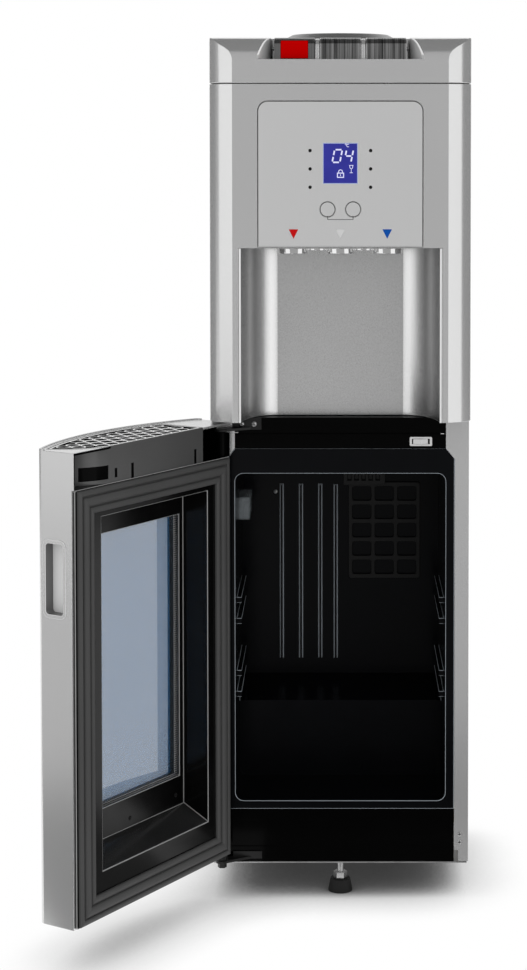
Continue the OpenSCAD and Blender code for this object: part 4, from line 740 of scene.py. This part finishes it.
# %% [markdown]
# The door hangs open, and its hinge gives the way back to the shut door, where its pieces are
# easiest to describe: x across, y through its thickness, z up. The frame is silver outside, black
# in the tray's pocket, which follows the bowed front, and painted near-white on the wall of its window,
# painted light over its shade.

# %% Door frame
hinge = next(joint for joint in frame["joints"] if joint["name"] == "door_hinge")
pin = Vector(hinge["pos_m"])
pin.z = 0.0
swing = Matrix.Rotation(math.radians(hinge["range_deg"][0]), 4, "Z")
opened = Matrix.Translation(pin) @ swing @ Matrix.Translation(-pin)
shut = opened.inverted()


def shut_box(node):
    """Corners of a door solid's box with the door shut."""
    return span([shut @ vertex.co for vertex in solids[node].data.vertices])


def when_shut(face):
    """Middle and outward direction of a face with the door shut."""
    return shut @ face.center, shut.to_3x3() @ face.normal


door_low, door_high = shut_box("door_frame")
pane_low, pane_high = shut_box("outer_glass")
pocket_floor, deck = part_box("drip_tray")[0][2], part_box("drip_tray")[1][2]
bow_depth, bow_half, shell = 32 * MM, 148 * MM, 1.6 * MM


def door_skin(face):
    """0 outside, 1 in the tray's pocket, 2 on the wall of the window, painted near-white as painted light.
    """
    spot, out = when_shut(face)
    front = door_low.y + bow_depth * (spot.x / bow_half) ** 2
    deep = min(spot.x - door_low.x, door_high.x - spot.x, spot.y - front) > shell
    if deep and pocket_floor - 0.6 * MM < spot.z < deck - shell:
        return 1
    across = pane_low.x < spot.x < pane_high.x and pane_low.z < spot.z < pane_high.z
    return 2 if across and spot.y < pane_high.y and abs(out.y) < 0.5 else 0


soften("door_frame", [silver, fascia_black, window_lining], 0.5, door_skin)
print("door", [round(v / MM, 1) for v in door_high - door_low])

# %% [markdown]
# The finger grip is a cup let into the door's free edge. Its rim has a silver flat between two
# edges with a painted highlight, its walls are painted darker as painted shade, and its floor gets the
# painted highlight as well.

# %% Finger grip
grip_end = shut_box("handle_cup")[1].x


def grip_skin(face):
    """0 on the floor of the cup and the edges of its rim (painted highlight), 1 on its walls (painted
    shade), 2 on the rim's flat.
    """
    spot, out = when_shut(face)
    if spot.x > grip_end - 1.0 * MM:
        return 2 if out.x > SQUARE else 0
    return 0 if out.x > 0.7 else 1


soften("handle_cup", [rim_white, grip_shade, silver], 0.35, grip_skin)
print("grip ends at", round(grip_end / MM, 1))

# %% [markdown]
# Behind the frame sits a deep black moulding, the reveal, which leads in to the panes. Its steps
# are seen only by their rounded edges, which carry a painted highlight, and by the sloped ledge
# below the window, which shines. The bar between the panes is dark, and dotted where it faces them.

# %% Reveal and spacer
ledge_area = 600 * MM * MM


def reveal_skin(face):
    """0 on walls, 1 on ledges that look up, 2 on rounded edges, which get a painted highlight."""
    out = when_shut(face)[1]
    if out.z > 0.3 and face.area > ledge_area:
        return 1
    return 2 if slanted(out) else 0


def spacer_skin(face):
    """0 on the sides, 1 on the faces towards the panes."""
    return abs(when_shut(face)[1].y) > 0.7


soften("door_inner_panel", [reveal_black, ledge_black, edge_shine], 0.8, reveal_skin)
soften("glass_spacer", [spacer_dark, spacer_dotted], 0.2, spacer_skin)
print("spacer", [round(v / MM, 1) for v in shut_box("glass_spacer")[0]])

# %% [markdown]
# The drip tray is dark grey with a black floor and marks pressed into its rear wall; the marks are
# painted black, painted shade in their recesses. They are given as spans in millimetres, across the door
# and up from the floor. The grille over it is a sheet of touching rings, bright on top, and painted dark
# down the insides as painted shade.

# %% Drip tray and grille
# The marks are painted black as painted shade in their recesses.
tray_painted_shade_marks = [(86, 121, 5, 20), (70, 75, 5, 15), (-80, -75, 0, 17), (40, 45, 0, 17)]
tray_rear, floor_high = -75 * MM, 6


def tray_skin(face):
    """1 on the floor, the inner side of the rear wall and the marks in it (painted shade), 0 elsewhere."""
    spot, out = when_shut(face)
    x, up = spot.x / MM, (spot.z - pocket_floor) / MM
    marked = any(a < x < b and c < up < d for a, b, c, d in tray_painted_shade_marks)
    inner = out.y < -0.4 and spot.y > tray_rear
    return (marked and out.y > 0.3) or (out.z > 0.9 and up < floor_high) or inner


def grille_skin(face):
    """0 on top, 1 inside the rings, painted dark as painted shade."""
    return abs(face.normal.z) < 0.4


soften("drip_tray", [tray_grey, fascia_black], 0.4, tray_skin)
soften("drip_grille", [grille_chrome, grille_inside], 0.5, grille_skin)
print("tray from", round(pocket_floor / MM, 1), "to", round(deck / MM, 1))

# %% [markdown]
# The gasket is an extruded rubber profile, cut at forty-five degrees and welded into a frame, with
# a lip on each side and a ridge between two grooves. Each point of the profile goes once round the
# frame as a rectangle, and faces join it to the next, which gives the mitred corners for nothing.

# %% Door gasket
def mesh_of(name, points, faces):
    """A mesh from points in millimetres, with all faces turned outward."""
    mesh = bpy.data.meshes.new(name)
    mesh.from_pydata([Vector(p) * MM for p in points], [], faces)
    bm = bmesh.new()
    bm.from_mesh(mesh)
    bmesh.ops.recalc_face_normals(bm, faces=bm.faces)
    bm.to_mesh(mesh)
    bm.free()
    return mesh


def ribbed_gasket(name, half_w, z0, z1, face_y, profile):
    points, faces = [], []
    for inset, depth in profile:
        w, low, high = half_w - inset, z0 + inset, z1 - inset
        points += [(x, face_y - depth, z) for x, z in ((-w, low), (w, low), (w, high), (-w, high))]
    count = len(profile)
    for k in range(count):
        a, b = 4 * k, 4 * ((k + 1) % count)
        faces += [(a + j, a + (j + 1) % 4, b + (j + 1) % 4, b + j) for j in range(4)]
    mesh = mesh_of(name, points, faces)
    bm = bmesh.new()
    bm.from_mesh(mesh)
    for e in bm.edges:
        along = (e.verts[0].co - e.verts[1].co).normalized()
        e.smooth = max(abs(along.x), abs(along.z)) > 0.99 and e.calc_face_angle(0.0) < math.radians(50)
    for f in bm.faces:
        f.smooth = True
    bm.to_mesh(mesh)
    bm.free()
    return mesh


# distance in from the outer edge, and depth below the face
gasket_profile = [(0.0, 5.0), (0.0, 2.6), (0.6, 1.9), (3.4, 1.0), (5.2, 1.2), (6.0, 2.0), (6.4, 3.6),
                  (7.8, 3.6), (8.2, 1.6), (9.4, 0.5), (11.5, 0.05), (14.5, 0.05), (16.6, 0.5), (17.8, 1.6),
                  (18.2, 3.6), (19.6, 3.6), (20.0, 2.0), (21.0, 1.2), (24.0, 1.0), (26.4, 1.9), (27.0, 2.6),
                  (27.0, 5.0)]
low, high = shut_box("door_gasket")
mesh = ribbed_gasket("door_gasket_ribbed", high.x / MM, low.z / MM, high.z / MM, high.y / MM, gasket_profile)
mesh.transform(opened)
piece("door_gasket_ribbed", mesh, [gasket_rubber], "door", ["door_gasket"])
print("gasket", [round(v / MM, 1) for v in high - low])

# %% [markdown]
# What repeats is grown by Geometry Nodes: a tree takes a cloud of points and named sizes, puts one
# small shape on each point, makes the result real and paints it. Sizes are set by the socket's
# identifier. Every shape is grown facing up and then turned to the wall that carries it.

# %% Grower
class Grower(Bench):
    """A Geometry Nodes tree that grows one shape on every point."""

    def __init__(self, name, sizes):
        super().__init__(bpy.data.node_groups.new(name, "GeometryNodeTree"))
        face = self.tree.interface
        face.new_socket("Points", in_out="INPUT", socket_type="NodeSocketGeometry")
        self.sizes = sizes
        self.ids = {label: face.new_socket(label, in_out="INPUT", socket_type="NodeSocketFloat").identifier
                    for label in sizes}
        face.new_socket("Pieces", in_out="OUTPUT", socket_type="NodeSocketGeometry")
        self.entry = self.tree.nodes.new("NodeGroupInput")

    def size(self, label):
        return Wire(self, self.entry.outputs[label])

    def vector(self, x, y, z):
        return self.node("ShaderNodeCombineXYZ", {}, {0: x, 1: y, 2: z})

    def joined(self, *shapes):
        join = self.tree.nodes.new("GeometryNodeJoinGeometry")
        for shape in shapes:
            self.tree.links.new(shape.socket, join.inputs[0])
        return Wire(self, join.outputs[0])

    def grown(self, shape, finish):
        """One shape on every point, made real and then painted."""
        spots = {"Points": self.size("Points"), "Instance": shape}
        on_points = self.node("GeometryNodeInstanceOnPoints", {}, spots)
        real = self.node("GeometryNodeRealizeInstances", {}, {"Geometry": on_points})
        return self.node("GeometryNodeSetMaterial", {}, {"Geometry": real, "Material": finish})

    def close(self, *grown):
        last = self.tree.nodes.new("NodeGroupOutput")
        self.tree.links.new(self.joined(*grown).socket, last.inputs[0])
        return self

    def grow(self, name, points, turn):
        cloud = bpy.data.meshes.new(name)
        cloud.from_pydata([Vector(p) * MM for p in points], [], [])
        seed = put_in_scene(name + "_seed", cloud)
        stage = seed.modifiers.new("grow", "NODES")
        stage.node_group = self.tree
        for label, value in self.sizes.items():
            stage[self.ids[label]] = value * MM
        mesh = to_mesh(seed)
        mesh.transform(turn)
        return mesh


facing_front = Matrix.Rotation(math.radians(90), 4, "X")
facing_back = Matrix.Rotation(math.radians(-90), 4, "X")
facing_right = Matrix.Rotation(math.radians(90), 4, "Y")
print("up turns to", [round(v) for v in facing_front.to_3x3() @ Vector((0, 0, 1))])

# %% [markdown]
# A screw has a low round head with a cross recess. The head is a flattened sphere, whose lower half
# sinks into the sheet, and the recess is drawn as two dark bars that cross on top, painted shade in place of
# its depth.

# %% Screw maker
def pan_screws(head_r, head_h, finish):
    g = Grower("pan_screws", {"Head radius": head_r, "Head height": head_h, "Bar width": head_r * 0.22})
    radius, height, width = g.size("Head radius"), g.size("Head height"), g.size("Bar width")
    ball = g.node("GeometryNodeMeshUVSphere", {}, {"Segments": 20, "Rings": 10, "Radius": radius})
    flat = g.node("GeometryNodeTransform", {}, {"Geometry": ball, "Scale": (1.0, 1.0, head_h / head_r)})
    smooth = g.node("GeometryNodeSetShadeSmooth", {}, {"Geometry": flat})
    length, place, bars = radius * 1.1, g.vector(0.0, 0.0, height * 0.88), []
    for x, y in ((length, width), (width, length)):
        bar = g.node("GeometryNodeMeshCube", {}, {"Size": g.vector(x, y, height * 0.3)})
        bars.append(g.node("GeometryNodeTransform", {}, {"Geometry": bar, "Translation": place}))
    return g.close(g.grown(smooth, finish), g.grown(g.joined(*bars), lens_black))


def screws(name, spots, head_r, head_h, body="cabinet", finish=bright_zinc,
           back=False, stands_for=()):
    """Screws that face the front or the back. Those of the door swing with it."""
    flat = [(x, -z, y) if back else (x, z, -y) for x, y, z in spots]
    turn = facing_back if back else facing_front
    mesh = pan_screws(head_r, head_h, finish).grow(name, flat, opened @ turn if body == "door" else turn)
    print(name, len(spots), "at", [round(v, 1) for v in spots[0]])
    return piece(name, mesh, list(mesh.materials), body, stands_for)


print("screw maker ready")

# %% [markdown]
# Two screws hold the right flange near its foot, one shows in the compartment's rear wall and two
# black ones in the reveal. The hinge has two large heads, and eight run round the rear panel.

# %% Screws in place
flange_x, wall_spot, reveal_spots = 144.6, (-84.1, 464.8), [(4.5, 139.9), (-83.9, 143.2)]
front_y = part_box("right_side_panel")[0][1] / MM
flange_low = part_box("right_side_panel")[0][2] / MM
screws("flange_screws", [(flange_x, front_y, flange_low + up) for up in (33.4, 23.6)], 2.6, 1.0)
liner_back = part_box("evaporator_cover")[1][1] / MM
screws("wall_screw", [(wall_spot[0], liner_back, wall_spot[1])], 2.8, 1.2)
panel_back, reveal_depth = 5 * MM, 41
reveal_y = (door_high.y + panel_back) / MM - reveal_depth
screws("reveal_screws", [(x, reveal_y, z) for x, z in reveal_spots], 2.6, 1.0,
       "door", cover_black, back=True)
low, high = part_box("hinge_screws")
head_r, head_h = 3.5, 2.0
hinge_z = (low[2] + high[2]) / 2 / MM
hinge_x = (low[0] / MM + head_r, high[0] / MM - head_r)
screws("hinge_heads", [(x, low[1] / MM + head_h, hinge_z) for x in hinge_x], head_r, head_h,
       stands_for=["hinge_screws"])
low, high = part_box("rear_panel")
rear_x, rear_rise, plug_depth = 145.0, (0.03, 0.35, 0.66, 0.97), 1.5
rear_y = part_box("rear_panel")[1][1] / MM - plug_depth
rear_z = [low[2] / MM + (high[2] - low[2]) / MM * part for part in rear_rise]
screws("rear_screws", [(x, rear_y, z) for x in (-rear_x, rear_x) for z in rear_z], 3.6, 1.4, back=True)

# %% [markdown]
# Lines and signs are thin ribbons of print: a path with a width, raised a little so that it has
# real sides. At every corner the two edges are moved along the bisector, so a ribbon stays equally
# wide round a bend, and a closed path gives a ring.

# %% Ribbons
def line(path, width, closed=False):
    """Both edges of a path (x, z), mitred at its corners, and whether it is closed."""
    count, left, right = len(path), [], []
    for k, spot in enumerate(path):
        here = Vector(spot)
        back = here - Vector(path[k - 1]) if closed or k else Vector(path[1]) - here
        ahead = Vector(path[(k + 1) % count]) - here if closed or k < count - 1 else back
        back.normalize()
        ahead.normalize()
        across = Vector((-back.y - ahead.y, back.x + ahead.x)).normalized()
        reach = width / 2 / max(across.dot(Vector((-back.y, back.x))), 0.3)
        left.append(here + across * reach)
        right.append(here - across * reach)
    return left, right, closed


def ring_path(x, z, radius, count=32, start=0.0, stop=360.0):
    steps = count + (stop - start < 360.0)
    turns = [math.radians(start + (stop - start) * k / count) for k in range(steps)]
    return [(x + radius * math.cos(a), z + radius * math.sin(a)) for a in turns]


def printed(name, lines, y, lift, finish, body):
    """Ribbons on the plane y, raised by lift towards the front, as one closed mesh each."""
    points, faces = [], []
    for left, right, closed in lines:
        start, count = len(points), len(left)
        for a, b in zip(left, right):
            points += [(a.x, y, a.y), (b.x, y, b.y), (b.x, y - lift, b.y), (a.x, y - lift, a.y)]
        for k in range(count if closed else count - 1):
            here, there = start + 4 * k, start + 4 * ((k + 1) % count)
            faces += [(here + j, here + (j + 1) % 4, there + (j + 1) % 4, there + j) for j in range(4)]
        if not closed:
            last = start + 4 * (count - 1)
            faces += [(start, start + 1, start + 2, start + 3), (last + 3, last + 2, last + 1, last)]
    print(name, "lines", len(lines), "at", round(y, 2))
    return piece(name, mesh_of(name, points, faces), [finish], body)


print("a ring has", len(ring_path(0, 0, 1)), "corners")

# %% [markdown]
# The display shows two slanted digits of seven bars each, a degree sign, a padlock and a small
# glass. A bar runs between two knots of a grid one step wide and two high, and stops short of its
# neighbours, as the cells of a liquid-crystal display do.

# %% Display signs
BARS = {"a": ((0, 2), (1, 2)), "b": ((1, 1), (1, 2)), "c": ((1, 0), (1, 1)), "d": ((0, 0), (1, 0)),
        "e": ((0, 0), (0, 1)), "f": ((0, 1), (0, 2)), "g": ((0, 1), (1, 1))}
SHOWN = {"0": "abcdef", "4": "bcfg"}


def digit(sign, x, z, w, h=14.8, width=1.8, lean=0.2, trim=0.6):
    bars = []
    for bar in SHOWN[sign]:
        ends = [Vector((x + w * i, z + h / 2 * j)) for i, j in BARS[bar]]
        along = (ends[1] - ends[0]).normalized() * (width * trim)
        ends = [ends[0] + along, ends[1] - along]
        bars.append(line([(e.x + lean * (e.y - z), e.y) for e in ends], width))
    return bars


window_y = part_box("display_window")[0][1] / MM
digits = digit("0", -9.6, 895.2, 9.0) + digit("4", 4.4, 895.2, 8.0)
degree = [line(ring_path(6.4, 916.4, 0.8, 16), 0.5, True),
          line(ring_path(9.0, 914.9, 1.6, 16, 50, 310), 0.65)]
padlock = [line([(-3.4, 877.6), (3.8, 877.6), (3.8, 882.6), (-3.4, 882.6)], 1.1, True),
           line([(-2.0, 882.6), *ring_path(0.2, 884.2, 2.2, 12, 180, 0), (2.4, 882.6)], 0.9),
           line([(0.2, 879.0), (0.2, 881.2)], 0.8)]
glass = [line([(10.8, 891.6), (11.4, 888.4), (12.8, 887.4), (14.2, 888.4), (14.8, 891.6)], 0.7, True),
         line([(12.8, 887.0), (12.8, 883.4)], 0.6), line([(11.0, 883.0), (14.6, 883.0)], 0.7)]
printed("display_signs", digits + degree + padlock + glass, window_y, 0.1, sign_light, "cabinet")

# %% [markdown]
# The control panel has a printed border round its top and sides, each round key has a printed
# circle that moves with it, and a bracket ties the keys together. Two short white bars at the fascia's ends
# are painted glints.

# %% Panel print
panel_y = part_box("control_panel")[0][1] / MM
low, high = [corner / MM for corner in front_face("control_panel")]
corner_r, inset, foot, print_lift = 12.0, 0.35, 0.4, 0.05
top_right = ring_path(high.x - corner_r, high.z - corner_r, corner_r - inset, 12, 0, 90)
top_left = ring_path(low.x + corner_r, high.z - corner_r, corner_r - inset, 12, 90, 180)
right_foot, left_foot = (high.x - inset, low.z + foot), (low.x + inset, low.z + foot)
border = [line([right_foot, *top_right, *top_left, left_foot], 0.7)]
printed("panel_border_print", border, panel_y, print_lift, lens_black, "cabinet")
bracket = [line([(-14.9, 832.3), (-14.9, 828.1), (14.9, 828.1), (14.9, 832.3)], 0.65)]
printed("key_bracket_print", bracket, panel_y, print_lift, print_grey, "cabinet")
for key in ("select_key", "custom_key"):
    low, high = [Vector(c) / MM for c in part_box(key)]
    circle = [line(ring_path((low.x + high.x) / 2, (low.z + high.z) / 2, 8.6, 48), 0.65, True)]
    printed(key + "_circle", circle, low.y, print_lift, print_grey, body_of[key])
fascia_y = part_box("fascia")[0][1] / MM
# Painted highlights: two white bars where the fascia's ends catch the light.
fascia_glints = [line([(-127.0, 569.2), (-123.0, 569.2)], 0.9), line([(121.0, 567.8), (125.0, 567.8)], 0.9)]
printed("fascia_painted_glints", fascia_glints, fascia_y, 0.08, switch_white, "cabinet")

# %% [markdown]
# The bar between the panes is rolled from aluminium and filled with drying beads, and two rows of pin
# holes let them breathe. Each hole is drawn as a small dark disc on the bar's inner face, painted shade in
# place of the hole.

# %% Spacer holes
def pin_holes(radius, depth):
    g = Grower("pin_holes", {"Hole radius": radius, "Hole depth": depth})
    sizes = {"Vertices": 10, "Radius": g.size("Hole radius"), "Depth": g.size("Hole depth")}
    return g.close(g.grown(g.node("GeometryNodeMeshCylinder", {}, sizes), lens_black))


bar = [shut @ v.co for v in solids["glass_spacer"].data.vertices]
bar_width, pitch, row_off = 6.5, 3.6, 1.2
bar_x = min(abs(v.x) for v in bar) / MM
bar_y = (min(v.y for v in bar) + max(v.y for v in bar)) / 2 / MM
bar_low, bar_high = min(v.z for v in bar) / MM + bar_width, max(v.z for v in bar) / MM - bar_width
rows, columns = int((bar_high - bar_low) / pitch), int(2 * bar_x / pitch)
upright = [(-(bar_low + pitch * (k + 0.5)), bar_y + side, -bar_x)
           for k in range(rows) for side in (-row_off, row_off)]
level = [(-bar_x + pitch * (k + 0.5), bar_y + side, bar_low)
         for k in range(columns) for side in (-row_off, row_off)]
holes = pin_holes(0.55, 0.06)
for name, spots, turn in (("spacer_holes_hinge", upright, opened @ facing_right),
                          ("spacer_holes_foot", level, opened)):
    piece(name, holes.grow(name, spots, turn), [lens_black], "door")
print("pin holes", len(upright) + len(level), "bar at", round(bar_x, 1), round(bar_y, 1))
